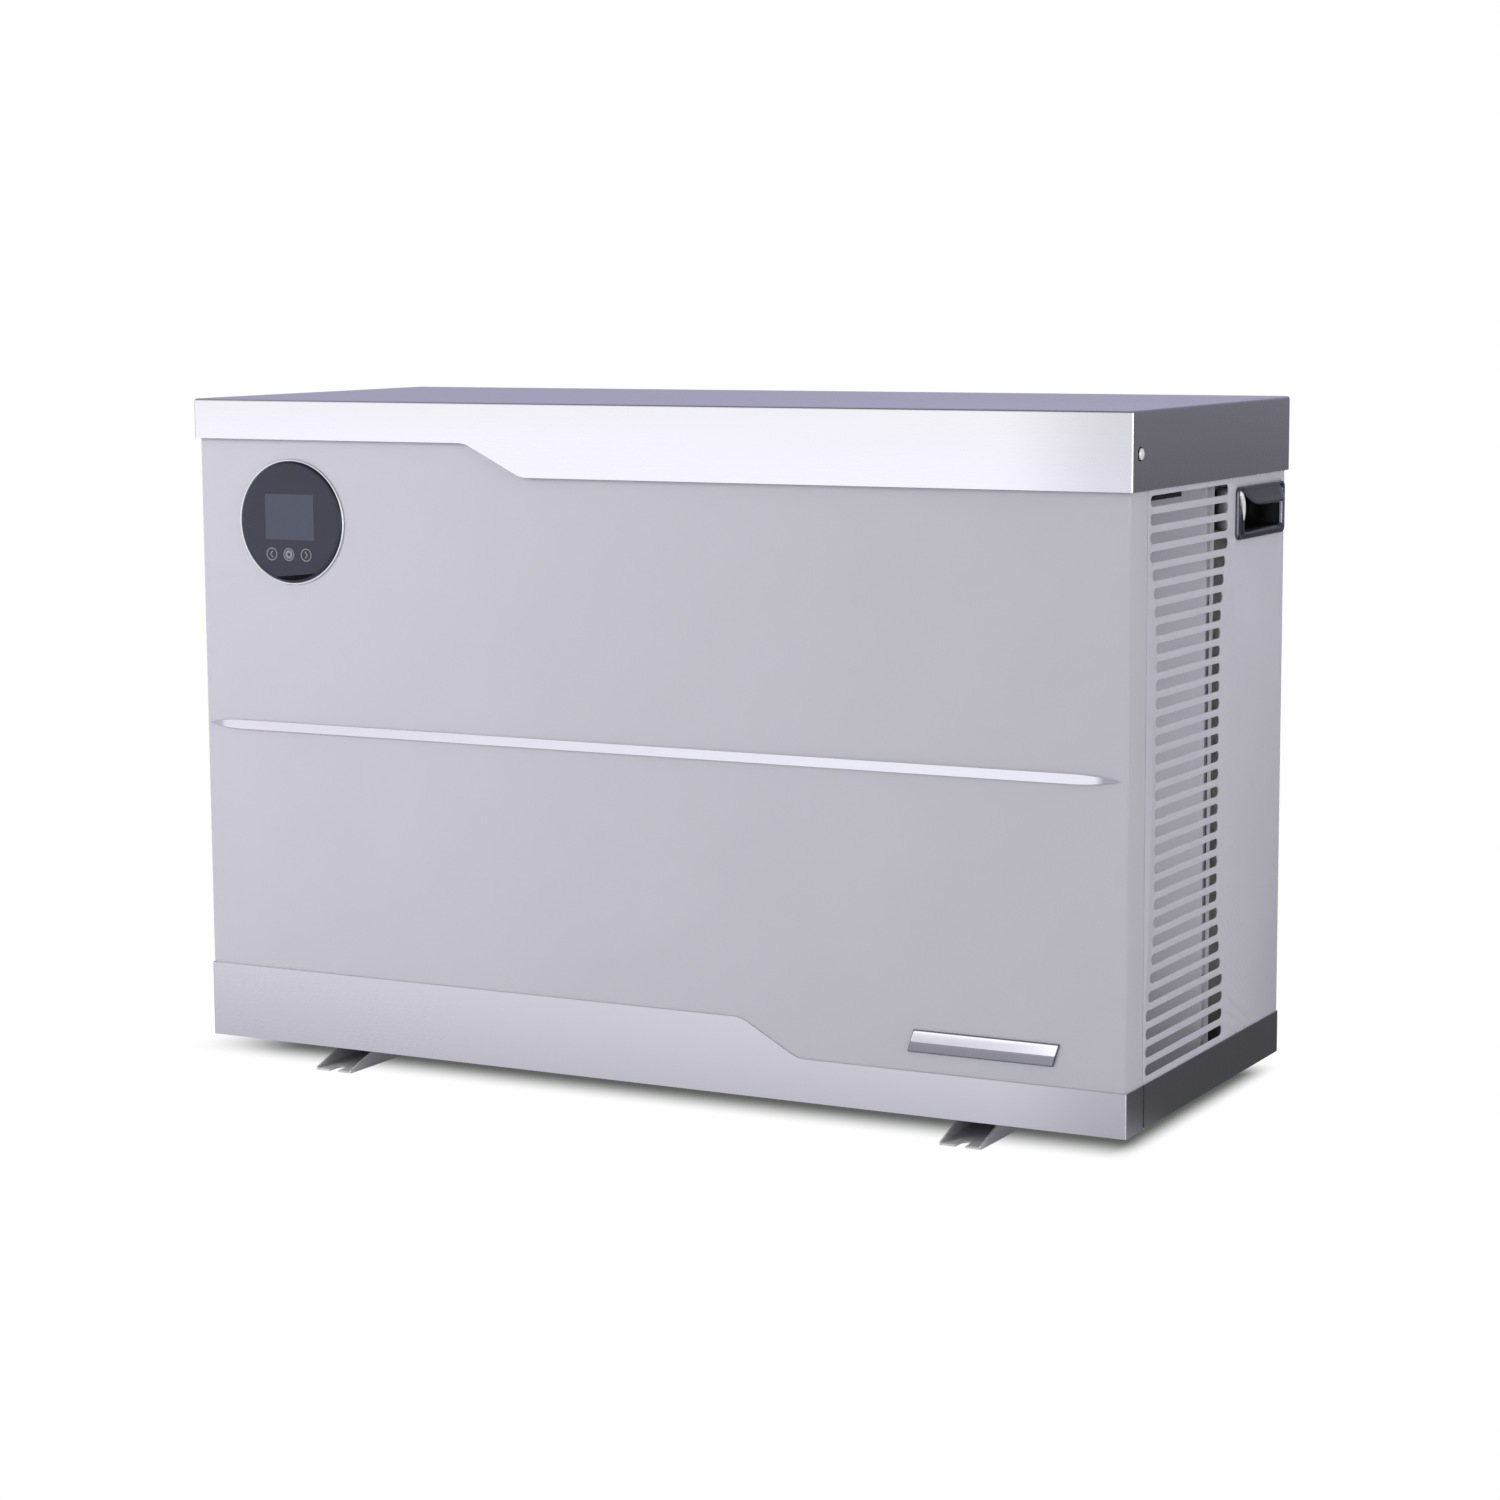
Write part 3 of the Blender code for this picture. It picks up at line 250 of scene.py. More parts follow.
def painted(name, colour, rough=0.42, peel=900.0, depth=0.00004, metallic=0.0, flake=0.03, coat=0.0):
    """Powder coat: orange peel (scale, depth), mottling by flake, specks, uneven sheen."""
    material, graph = new_material(name, Metallic=metallic)
    orange_peel = graph.noise(peel)
    mottle = graph.noise(7.0)
    speck = graph.noise(peel * 3.2, detail=1.0)
    base = graph.colour(mottle, scaled(colour, 1 - flake), scaled(colour, 1 + flake))
    graph.shade(
        Base_Color=graph.colour(graph.remap(speck, 0.0, 0.16), base, scaled(colour, 0.9)),
        Roughness=graph.remap(mottle, rough - 0.04, rough + 0.06),
        Coat_Weight=coat,
        Coat_Roughness=0.25,
    )
    graph.bump(orange_peel, depth, strength=0.6)
    return material


def rib_accent(material):
    """Painted light on the front panel's rib: a painted highlight lightens its crown, more so to the
    right, and painted shade darkens its flanks.
    """
    graph = Graph(material.node_tree)
    coat = graph.bsdf.inputs["Base Color"].links[0].from_socket
    place, facing = graph.position(), graph.normal()
    crown = graph.fade(place["Y"], y_at(3.3), y_at(2.6))
    raised = graph.fade(place["Y"], y_at(5.1), y_at(4.6))
    outward = graph.fade(facing["Y"], -0.2, -0.6)
    along = graph.fade(place["X"], x_at(60), x_at(960))
    crown_highlight = graph.colour(along, (1.30, 1.29, 1.30), (1.74, 1.76, 1.78))
    rib_highlight_and_shade = graph.colour(crown, (0.74, 0.74, 0.77), crown_highlight)
    painted_light_tint = graph.colour(raised, (1.0, 1.0, 1.0), rib_highlight_and_shade)
    face_highlight_and_shade = graph.colour(outward, (1.0, 1.0, 1.0), painted_light_tint)
    graph.shade(Base_Color=graph.colour(1.0, coat, face_highlight_and_shade, "MULTIPLY"))


def moulded(name, colour, rough=0.45, texture=1400.0, depth=0.00003, wear=0.12, specular=0.5):
    """Plastic: fine texture (scale, depth), slow change of gloss, and of colour by wear."""
    material, graph = new_material(name, Specular_IOR_Level=specular)
    grain = graph.noise(texture, detail=2.0)
    slow = graph.noise(18.0)
    graph.shade(
        Base_Color=graph.colour(slow, scaled(colour, 1 - wear), scaled(colour, 1 + wear)),
        Roughness=graph.remap(slow, rough - 0.06, rough + 0.08),
    )
    graph.bump(grain, depth, strength=0.5)
    return material


def bare_metal(name, colour, rough=0.3, blotch=30.0, contrast=0.18, depth=0.00003, tarnish=None):
    """Unpainted metal: blotches of tarnish, or of the colour darkened by contrast."""
    material, graph = new_material(name, Metallic=1.0)
    spots = graph.noise(blotch, detail=5.0, roughness=0.6)
    marks = graph.noise(500.0, detail=2.0)
    other = tarnish or scaled(colour, 1 - contrast)
    graph.shade(
        Base_Color=graph.colour(graph.ramp(spots, [(0.35, 0.0), (0.7, 1.0)]), colour, other),
        Roughness=graph.remap(spots, rough - 0.07, rough + 0.14),
    )
    graph.bump(marks, depth, strength=0.5)
    return material


def spangled(name, colour):
    """Galvanised sheet: crystals that change colour and gloss cell by cell."""
    material, graph = new_material(name, Metallic=0.85)
    cells = graph.add("TexVoronoi", {"Scale": 130.0, "Vector": graph.mapped()})
    grey = graph.add("RGBToBW", {0: cells.outputs["Color"]}).outputs[0]
    graph.shade(
        Base_Color=graph.colour(grey, scaled(colour, 0.84), scaled(colour, 1.08)),
        Roughness=graph.remap(grey, 0.34, 0.56),
    )
    graph.bump(graph.noise(260.0), distance=0.00005, strength=0.5)
    return material


def glassy_black(name, colour, rough=0.04):
    """Back-painted glass: a faintly wavy surface with smears."""
    material, graph = new_material(name)
    smear = graph.noise(45.0, detail=4.0)
    graph.shade(
        Base_Color=graph.colour(smear, colour, scaled(colour, 1.25)),
        Roughness=graph.remap(smear, rough, rough + 0.09),
    )
    graph.bump(graph.noise(12.0, detail=1.0), distance=0.00002, strength=0.3)
    return material


def clear(name):
    """Clear glass with a trace of dust."""
    material, graph = new_material(name, Roughness=0.02, IOR=1.46, Transmission_Weight=1.0)
    dust = graph.noise(220.0)
    graph.shade(
        Roughness=graph.remap(dust, 0.0, 0.06),
        Base_Color=graph.colour(dust, (0.97, 0.98, 0.98), (0.9, 0.93, 0.94)),
    )
    return material


# ------------------------------------------------------------------ the materials
STEEL = brushed("m_stainless", (0.80, 0.79, 0.825), rough=0.27)
PAINT = painted("m_panel_paint", (0.475, 0.463, 0.518))
# the front's paint is the panel paint made a little darker and bluer: painted shade
PAINT_FRONT = painted("m_front_paint", (0.458, 0.449, 0.498))
# painted highlight on the rib's crown and painted shade on its flanks
rib_accent(PAINT_FRONT)
PAINT_INNER = painted("m_inner_paint", (0.50, 0.495, 0.545), rough=0.5, depth=0.00005)
GALVANISED = spangled("m_galvanised", (0.52, 0.52, 0.53))
FOOT = painted("m_foot_coat", (0.60, 0.60, 0.63), rough=0.40, metallic=0.15)
BLACK = moulded("m_black_plastic", (0.022, 0.022, 0.024), rough=0.42)
GREY = moulded("m_grey_plastic", (0.16, 0.165, 0.18), rough=0.42)
WHITE = moulded("m_white_plastic", (0.70, 0.71, 0.70), rough=0.32, depth=0.00002, wear=0.05)
DARK_CHROME = painted(
    "m_dark_plated", (0.125, 0.128, 0.155),
    rough=0.13, peel=300.0, depth=0.000004, metallic=0.85, coat=0.5,
)
# black plastic made darker and almost without gloss: partly its own black, partly painted shade in
# the handle pockets
CAVITY_SHADED_BLACK = moulded("m_cavity_black_and_shade", (0.004, 0.004, 0.005), rough=0.5, specular=0.08)
RING = bare_metal("m_ring", (0.80, 0.80, 0.83), rough=0.28, contrast=0.05, depth=0.00001)
CHROME = bare_metal("m_chrome", (0.80, 0.80, 0.83), rough=0.10, contrast=0.06, depth=0.00001)
BLACK_GLASS = glassy_black("m_black_glass", (0.009, 0.010, 0.024))
LCD = glassy_black("m_lcd", (0.034, 0.040, 0.062), rough=0.12)
# near-black and almost unreflecting: a painted dark reflection along the disc's lower edge
REFLECTION_BAND = moulded("m_dark_reflection_band", (0.003, 0.003, 0.004), rough=0.35, specular=0.06)
BADGE = bare_metal(
    "m_badge_chrome", (0.92, 0.92, 0.94), rough=0.10, contrast=0.04, depth=0.000004
)
# the badge chrome made darker: painted reflection on the badge's lower face
BADGE_SHADED = bare_metal(
    "m_badge_shaded", (0.40, 0.40, 0.43), rough=0.16, contrast=0.06, depth=0.000006
)
ICON = moulded("m_icon_print", (0.17, 0.175, 0.20), rough=0.4)
COPPER = bare_metal("m_copper", (0.78, 0.40, 0.25), tarnish=(0.45, 0.22, 0.14))
TITANIUM = bare_metal("m_titanium", (0.50, 0.47, 0.45), rough=0.34)
FIN = bare_metal("m_fin", (0.31, 0.305, 0.30), rough=0.46, blotch=60.0)
ENAMEL = painted(
    "m_black_enamel", (0.016, 0.016, 0.018), rough=0.28, peel=350.0, depth=0.00006, coat=0.3
)
RUBBER = moulded(
    "m_rubber", (0.014, 0.014, 0.014), rough=0.75, texture=700.0, depth=0.00008, specular=0.3
)
BOARD = moulded("m_board", (0.015, 0.12, 0.045), rough=0.32, texture=300.0)
BRASS = bare_metal("m_brass", (0.78, 0.58, 0.28), rough=0.26, tarnish=(0.42, 0.30, 0.14))
LENS = clear("m_lens")
RED = moulded("m_red", (0.45, 0.02, 0.015), rough=0.4)
DIAL = painted("m_dial", (0.80, 0.80, 0.78), rough=0.5, flake=0.02)
INK = moulded("m_ink", (0.02, 0.02, 0.022), rough=0.5)
SCREW = bare_metal("m_screw", (0.70, 0.70, 0.72), rough=0.22)
# a near-white coat: painted highlight on the lid screw heads and the handle crescents
HIGHLIGHT_WHITE = painted(
    "m_painted_highlight_white", (0.93, 0.93, 0.95),
    rough=0.24, peel=400.0, depth=0.00001, metallic=0.35, coat=0.3,
)
ALUMINIUM = bare_metal("m_alu", (0.66, 0.67, 0.68), contrast=0.1)
FOAM = moulded(
    "m_foam", (0.012, 0.012, 0.013), rough=0.9, texture=900.0, depth=0.00025, specular=0.15
)
BLUE = moulded("m_blue", (0.03, 0.10, 0.30), rough=0.35)

MATERIALS_IN_SLOT = {
    "stainless": (STEEL, SCREW, HIGHLIGHT_WHITE),
    "painted_panel": (PAINT, PAINT_FRONT, PAINT_INNER),
    "black_glass": (REFLECTION_BAND, BLACK_GLASS),
    "chrome": (BADGE, BADGE_SHADED, CHROME, RING),
    "galvanised": (GALVANISED, FOOT),
    "black_plastic": (BLACK, CAVITY_SHADED_BLACK, INK, BLUE),
    "grey_plastic": (GREY, ICON),
    "white_plastic": (WHITE, DIAL),
    "dark_chrome": (DARK_CHROME,),
    "lcd": (LCD,),
    "copper": (COPPER,),
    "titanium": (TITANIUM,),
    "fin_aluminium": (FIN, ALUMINIUM),
    "black_enamel": (ENAMEL,),
    "rubber": (RUBBER, FOAM),
    "circuit_board": (BOARD,),
    "brass": (BRASS,),
    "clear_lens": (LENS,),
    "red_needle": (RED,),
}
SLOT = {material: slot for slot, group in MATERIALS_IN_SLOT.items() for material in group}


# ------------------------------------------------------------------ object helpers
def link_object(name, data):
    obj = bpy.data.objects.new(name, data)
    scene.collection.objects.link(obj)
    return obj


def to_object(name, mesh):
    """Turns an edit mesh into a linked object."""
    data = bpy.data.meshes.new(name)
    mesh.to_mesh(data)
    mesh.free()
    return link_object(name, data)


def set_material(obj, material):
    obj.data.materials.clear()
    obj.data.materials.append(material)


def finish(obj, material, body=BODY, stands_for=None, angle=32):
    set_material(obj, material)
    if angle:
        obj.data.shade_smooth()
        obj.data.set_sharp_from_angle(angle=math.radians(angle))
    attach(obj, body)
    if stands_for:
        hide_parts(stands_for)
    return obj


def piece(name, mesh, material, clean=True, **kw):
    if clean:
        bmesh.ops.remove_doubles(mesh, verts=mesh.verts, dist=1e-7)
    bmesh.ops.recalc_face_normals(mesh, faces=mesh.faces)
    return finish(to_object(name, mesh), material, **kw)


def evaluated_mesh(obj):
    bpy.context.view_layer.update()
    depsgraph = bpy.context.evaluated_depsgraph_get()
    return bpy.data.meshes.new_from_object(obj.evaluated_get(depsgraph))


def apply_modifiers(obj):
    data = evaluated_mesh(obj)
    old = obj.data
    obj.modifiers.clear()
    obj.data = data
    bpy.data.meshes.remove(old)


def thicken(obj, thickness, offset, even=False):
    sheet = obj.modifiers.new("sheet", "SOLIDIFY")
    sheet.thickness = thickness / 1000
    sheet.offset = offset
    sheet.use_even_offset = even
    apply_modifiers(obj)


def cut(obj, cutters):
    """Cuts the cutters out of obj and removes them."""
    for other in cutters:
        modifier = obj.modifiers.new("b", "BOOLEAN")
        modifier.solver = "EXACT"
        modifier.object = other
    apply_modifiers(obj)
    for other in cutters:
        bpy.data.objects.remove(other)
    mesh = bmesh.new()
    mesh.from_mesh(obj.data)
    bmesh.ops.remove_doubles(mesh, verts=mesh.verts, dist=2e-6)
    bmesh.ops.dissolve_degenerate(mesh, edges=mesh.edges, dist=1e-6)
    mesh.to_mesh(obj.data)
    mesh.free()


def keep_shape(node, material, width, angle):
    """Keeps a CAD piece's own mesh, with its edges softened by width mm."""
    obj = NODES[node]
    set_material(obj, material)
    obj.modifiers.new("weld", "WELD").merge_threshold = 0.00002
    edge = obj.modifiers.new("edge", "BEVEL")
    edge.width = width / 1000
    edge.segments = 2
    edge.limit_method = "ANGLE"
    edge.angle_limit = math.radians(angle)


# ------------------------------------------------------------------ outlines and paths
def softened(points, radius, count, share):
    """Corners replaced by curves of count steps, using at most share of each edge."""
    out = [points[0]]
    for before, here, after in zip(points, points[1:], points[2:]):
        corner = Vector(here)
        back, ahead = Vector(before) - corner, Vector(after) - corner
        if back.length < 1e-6 or ahead.length < 1e-6:
            out.append(tuple(corner))
            continue
        reach = min(radius, back.length * share, ahead.length * share)
        start = corner + back.normalized() * reach
        stop = corner + ahead.normalized() * reach
        for i in range(count + 1):
            t = i / count
            out.append(tuple(start * (1 - t) ** 2 + 2 * corner * t * (1 - t) + stop * t**2))
    out.append(points[-1])
    return out


def round_profile(points, radius, count):
    return softened(points, radius, count, 0.4)


def fillet(points, radius):
    """A 2D polyline with softened corners, rounded to single precision like its corners."""
    return softened([tuple(Vector(p)) for p in points], radius, 10, 0.45)


def bends(points, radius, count=7):
    """A polyline whose corners are true arcs, as a tube bender leaves them."""
    points = [Vector(p) for p in points]
    out = [points[0]]
    for before, corner, after in zip(points, points[1:], points[2:]):
        back, ahead = (before - corner).normalized(), (after - corner).normalized()
        turn = math.pi - back.angle(ahead)
        reach = radius * math.tan(turn / 2)
        centre = corner + (back + ahead).normalized() * (radius / math.cos(turn / 2))
        start, stop = corner + back * reach - centre, corner + ahead * reach - centre
        for i in range(count + 1):
            out.append(centre + start.slerp(stop, i / count).normalized() * radius)
    out.append(points[-1])
    return out


def rounded(x0, y0, x1, y1, radius, count=6):
    """A rectangle with round corners."""
    out = []
    corners = (
        (x1 - radius, y0 + radius, -90), (x1 - radius, y1 - radius, 0),
        (x0 + radius, y1 - radius, 90), (x0 + radius, y0 + radius, 180),
    )
    for x, y, start in corners:
        for i in range(count + 1):
            t = math.radians(start + 90 * i / count)
            out.append((x + radius * math.cos(t), y + radius * math.sin(t)))
    return out


def circle(x, y, radius, count=48):
    turns = [2 * math.pi * i / count for i in range(count)]
    return [(x + radius * math.cos(a), y + radius * math.sin(a)) for a in turns]


# ------------------------------------------------------------------ solid shapes
def add_box(mesh, low, high, bevel=0.0, segments=2):
    """A block with softened edges."""
    verts = bmesh.ops.create_cube(mesh, size=1.0)["verts"]
    middle = [(a + b) / 2 for a, b in zip(low, high)]
    size = [b - a for a, b in zip(low, high)]
    for vert in verts:
        vert.co = point(*(m + s * c for m, s, c in zip(middle, size, vert.co)))
    if bevel:
        edges = list({edge for vert in verts for edge in vert.link_edges})
        bmesh.ops.bevel(
            mesh, geom=edges, offset=bevel / 1000, segments=segments,
            profile=0.5, affect="EDGES", clamp_overlap=True,
        )


def box(name, low, high, material, bevel, segments=2):
    mesh = bmesh.new()
    add_box(mesh, low, high, bevel, segments)
    return piece(name, mesh, material)


def bridge(mesh, lower, upper):
    """Faces between two rings, either of which may be a single vertex."""
    count = max(len(lower), len(upper))
    if count == 1:
        return
    for i in range(count):
        j = (i + 1) % count
        if len(lower) == 1:
            mesh.faces.new((lower[0], upper[j], upper[i]))
        elif len(upper) == 1:
            mesh.faces.new((lower[i], lower[j], upper[0]))
        else:
            mesh.faces.new((lower[i], lower[j], upper[j], upper[i]))


def bridge_all(mesh, rings):
    for lower, upper in zip(rings, rings[1:]):
        bridge(mesh, lower, upper)


def tube_faces(mesh, rings):
    """A skin along the rings with a cap at both ends."""
    bridge_all(mesh, rings)
    mesh.faces.new(rings[0][::-1])
    mesh.faces.new(rings[-1])


# the two directions across a turned shape, and its own axis
AXES = {
    "z": (Vector((1, 0, 0)), Vector((0, 1, 0)), Vector((0, 0, 1))),
    "y": (Vector((1, 0, 0)), Vector((0, 0, 1)), Vector((0, 1, 0))),
    "x": (Vector((0, 1, 0)), Vector((0, 0, 1)), Vector((1, 0, 0))),
    "-x": (Vector((0, 1, 0)), Vector((0, 0, 1)), Vector((-1, 0, 0))),
}


def turned(centre, axis, angle, radius, height):
    across, other, along = AXES[axis]
    outward = across * math.cos(angle) + other * math.sin(angle)
    return centre + outward * (radius / 1000) + along * (height / 1000)


def add_lathe(
    mesh, profile, origin, axis="z", steps=48, soft=None, closed=False, wobble=None
):
    """Turns a (radius, height) profile about an axis through origin.

    soft is the (radius, steps) of the rounded corners. closed joins the profile's ends.
    wobble(angle, radius, height) returns an added radius.
    """
    if soft and closed:
        profile = round_profile(profile + profile[:1], *soft)[:-1]
    elif soft:
        profile = round_profile(profile, *soft)
    centre = point(*origin)
    rings = []
    for radius, height in profile:
        if radius < 1e-6:
            rings.append([mesh.verts.new(turned(centre, axis, 0.0, 0.0, height))])
            continue
        ring = []
        for i in range(steps):
            angle = 2 * math.pi * i / steps
            extra = wobble(angle, radius, height) if wobble else 0.0
            ring.append(mesh.verts.new(turned(centre, axis, angle, radius + extra, height)))
        rings.append(ring)
    bridge_all(mesh, rings + rings[:1] if closed else rings)


def lathe(
    name, profile, origin, material, axis="z", steps=48, soft=None, closed=False, wobble=None, **kw
):
    mesh = bmesh.new()
    add_lathe(mesh, profile, origin, axis, steps, soft, closed, wobble)
    return piece(name, mesh, material, **kw)


def add_tube(mesh, path, radius, sides):
    """A round tube swept along a path."""
    points = [point(*p) for p in path]
    runs = [(b - a).normalized() for a, b in zip(points, points[1:])]
    directions = [runs[0]] + [(a + b).normalized() for a, b in zip(runs, runs[1:])] + [runs[-1]]
    side = directions[0].orthogonal().normalized()
    rings = []
    for centre, ahead in zip(points, directions):
        side = (side - ahead * side.dot(ahead)).normalized()
        other = ahead.cross(side)
        ring = []
        for i in range(sides):
            a = 2 * math.pi * i / sides
            outward = side * math.cos(a) + other * math.sin(a)
            ring.append(mesh.verts.new(centre + outward * (radius / 1000)))
        rings.append(ring)
    tube_faces(mesh, rings)


# from an outline's plane to the row frame
PLANES = {
    "front": Matrix(((1, 0, 0), (0, 0, -1), (0, 1, 0))).to_4x4(),
    "side": Matrix(((0, 0, 1), (1, 0, 0), (0, 1, 0))).to_4x4(),
    "flat": Matrix.Identity(4),
}


def plate_mesh(loops, thickness, plane, origin, edge=0.0):
    """A flat plate with holes, centred on origin, its edges rounded by edge mm."""
    curve = bpy.data.curves.new("outline", "CURVE")
    curve.dimensions = "2D"
    curve.fill_mode = "BOTH"
    curve.extrude = (thickness / 2 - edge) / 1000
    if edge:
        curve.bevel_depth = edge / 1000
        curve.bevel_resolution = 1
        curve.offset = -edge / 1000
    for loop in loops:
        spline = curve.splines.new("POLY")
        spline.points.add(len(loop) - 1)
        for target, (x, y) in zip(spline.points, loop):
            target.co = (x / 1000, y / 1000, 0.0, 1.0)
        spline.use_cyclic_u = True
    holder = link_object("outline", curve)
    data = evaluated_mesh(holder)
    bpy.data.objects.remove(holder)
    bpy.data.curves.remove(curve)
    data.transform(Matrix.Translation(point(*origin)) @ PLANES[plane])
    mesh = bmesh.new()
    mesh.from_mesh(data)
    bmesh.ops.remove_doubles(mesh, verts=mesh.verts, dist=1e-6)
    bpy.data.meshes.remove(data)
    return mesh


def plate(name, loops, thickness, plane, origin, material, edge=0.0, extra=None, **kw):
    """A plate as one piece; extra(mesh) may add more to it."""
    mesh = plate_mesh(loops, thickness, plane, origin, edge)
    if extra:
        extra(mesh)
    return piece(name, mesh, material, clean=False, **kw)


def cutter(name, loop, thickness, plane, origin):
    mesh = plate_mesh([loop], thickness, plane, origin)
    bmesh.ops.recalc_face_normals(mesh, faces=mesh.faces)
    return to_object(name, mesh)


def folded_sheet(name, low, high, drop, thickness, radius, cutters, stands_for):
    """A steel block without the faces in drop, folds rounded, thickened inwards, then cut."""
    mesh = bmesh.new()
    add_box(mesh, low, high)
    bmesh.ops.recalc_face_normals(mesh, faces=mesh.faces)

    def looks(face, side):
        return face.normal["xyz".index(side[1])] * (1 if side[0] == "+" else -1) > 0.9

    gone = [face for face in mesh.faces if any(looks(face, side) for side in drop)]
    bmesh.ops.delete(mesh, geom=gone, context="FACES")
    folds = [edge for edge in mesh.edges if len(edge.link_faces) == 2]
    bmesh.ops.bevel(
        mesh, geom=folds, offset=radius / 1000, segments=6, profile=0.5, affect="EDGES"
    )
    obj = to_object(name, mesh)
    thicken(obj, thickness, -1.0, even=True)
    if cutters:
        cut(obj, cutters)
    return finish(obj, STEEL, stands_for=stands_for, angle=28)


def add_pan_head(mesh, centre, axis, radius, height):
    """A pan-head screw head with a recess, seated at centre."""
    steps = 20
    centre = point(*centre)

    def ring(parts):
        """One ring from a (part of radius, height) pair for each step."""
        return [
            mesh.verts.new(turned(centre, axis, 2 * math.pi * i / steps, radius * part, up))
            for i, (part, up) in enumerate(parts)
        ]

    # part of the radius, part of the height
    dome = ((1, 0.0), (1, 0.35), (0.93, 0.66), (0.72, 0.9), (0.52, 1))
    rings = [ring([(part, height * up)] * steps) for part, up in dome]
    recess_edge = [(0.20, height - 0.15) if i % 5 else (0.44, height) for i in range(steps)]
    rings.append(ring(recess_edge))
    rings.append(ring([(0.14, height * 0.35)] * steps))
    bridge_all(mesh, rings)
    mesh.faces.new(rings[-1])
    mesh.faces.new(rings[0][::-1])


def screws(name, centres, axis, radius, height):
    mesh = bmesh.new()
    for centre in centres:
        add_pan_head(mesh, centre, axis, radius, height)
    return piece(name, mesh, SCREW, clean=False, angle=35)


# ------------------------------------------------------------------ lid
SKIRT_LEFT, SKIRT_RIGHT = 41.2, 74.4  # depth of the skirt at either end
RAMP_START, RAMP_END = 333.0, 399.0  # x where its lower edge slopes


def lid():
    shallow, deep = TOP - SKIRT_LEFT, TOP - SKIRT_RIGHT
    edge = fillet([(20, shallow), (RAMP_START, shallow), (RAMP_END, deep), (460, deep)], 8)
    below = deep - 12
    outline = [(-10, below), (-10, shallow)] + edge[:-1] + [(edge[-2][0], below)]
    lid_cut = cutter("lid_cut", outline, DEPTH + 40, "front", (0, DEPTH / 2, 0))
    low, high = (0, 0, deep), (WIDTH, DEPTH, TOP)
    folded_sheet("lid_sheet", low, high, ("-z",), 1.2, 3.0, [lid_cut], "top_lid")


def lid_screw(side):
    node = f"lid_screw_{side}"
    _, y, z = cad_centre(node)
    origin, axis = ((WIDTH, y, z), "x") if side == "right" else ((0.0, y, z), "-x")
    turns = [math.radians(a) for a in range(9, 91, 9)]
    dome = [(0.0, 2.9)] + [(5.3 * math.sin(a), 1.1 + 1.8 * math.cos(a)) for a in turns]
    dome += [(5.3, 0.3), (5.2, 0.0), (0.0, 0.0)]
    # the head is near-white: a painted highlight
    lathe(f"{node}_head", dome, origin, HIGHLIGHT_WHITE, axis, 40, stands_for=node)
    seal = round_profile([(2.2, 0.05), (6.8, 0.05), (6.6, 0.6), (2.2, 0.6)], 0.2, 2)[:-1]
    lathe(f"{node}_seal", seal, origin, RUBBER, axis, 40, closed=True)


lid()
for side in SIDES:
    lid_screw(side)

# ------------------------------------------------------------------ front panel and its rib
(front_x0, _, front_z0), (front_x1, front_back, front_z1) = cad_box("front_panel")
FACE = 5.2  # y of the panel's outer face
FOLD = 2.6  # radius of its upright folds
RIB_Z, RIB_HALF, RIB_PROUD = 362.3, 5.9, 2.9
RIB_MARGIN = 12  # band above and below the rib's middle with its own lines
RIB_X0, RIB_X1 = 6.5, WIDTH - 10.0
# lines along the rib: distance from its middle in half widths, part of its full rise
RIB_SECTION = (
    (-1.0, 0.0), (-0.93, 0.06), (-0.80, 0.92), (-0.74, 1.0), (-0.5, 1.0), (0.0, 1.0),
    (0.5, 1.0), (0.74, 1.0), (0.80, 0.92), (0.93, 0.06), (1.0, 0.0),
)
control_x, _, control_z = cad_centre("controller_glass")


def rib_width(x):
    """Half the rib's width at x: constant, with long pointed ends."""
    end = min((x - RIB_X0) / 46.0, (RIB_X1 - x) / 52.0, 1.0)
    return RIB_HALF * max(0.03, math.sin(max(0.0, end) * math.pi / 2) ** 0.8)


def front_stations():
    """(x, y, is on the face) of the panel's upright lines, from left to right."""
    axis_y = FACE + FOLD
    for i in range(3):
        yield front_x0, front_back - (front_back - FACE - FOLD) * i / 2, False
    for i in range(1, 6):
        a = math.pi / 2 * i / 6
        yield front_x0 + FOLD - FOLD * math.cos(a), axis_y - FOLD * math.sin(a), False
    inner = [front_x0 + FOLD, RIB_X0 + 0.4]
    inner += [RIB_X0 + 52 * (i / 14) ** 1.4 for i in range(1, 15)]
    inner += [RIB_X0 + 52 + (RIB_X1 - 58 - RIB_X0 - 52) * i / 40 for i in range(1, 41)]
    inner += [RIB_X1 - 58 * (1 - i / 14) ** 1.4 for i in range(1, 15)]
    inner += [front_x1 - FOLD]
    for x in sorted(set(round(x, 4) for x in inner)):
        yield x, FACE, True
    for i in range(1, 6):
        a = math.pi / 2 * (1 - i / 6)
        yield front_x1 - FOLD + FOLD * math.cos(a), axis_y - FOLD * math.sin(a), False
    for i in range(3):
        yield front_x1, axis_y + (front_back - FACE - FOLD) * i / 2, False


def front_column(x, on_face):
    """(z, rise) down one upright line of the panel, from its foot to its top."""
    half, proud = rib_width(x), 0.0
    if on_face and RIB_X0 < x < RIB_X1:
        proud = RIB_PROUD * min(1.0, half / RIB_HALF * 1.15)
    steps = range(13)
    shoulder = 0.35 * (RIB_MARGIN - half)
    column = [(front_z0 + (RIB_Z - RIB_MARGIN - front_z0) * i / 12, 0.0) for i in steps]
    column += [(RIB_Z - half - shoulder, 0.0)]
    column += [(RIB_Z + half * t, proud * rise) for t, rise in RIB_SECTION]
    column += [(RIB_Z + half + shoulder, 0.0)]
    top = RIB_Z + RIB_MARGIN
    return column + [(top + (front_z1 - RIB_Z - RIB_MARGIN) * i / 12, 0.0) for i in steps]


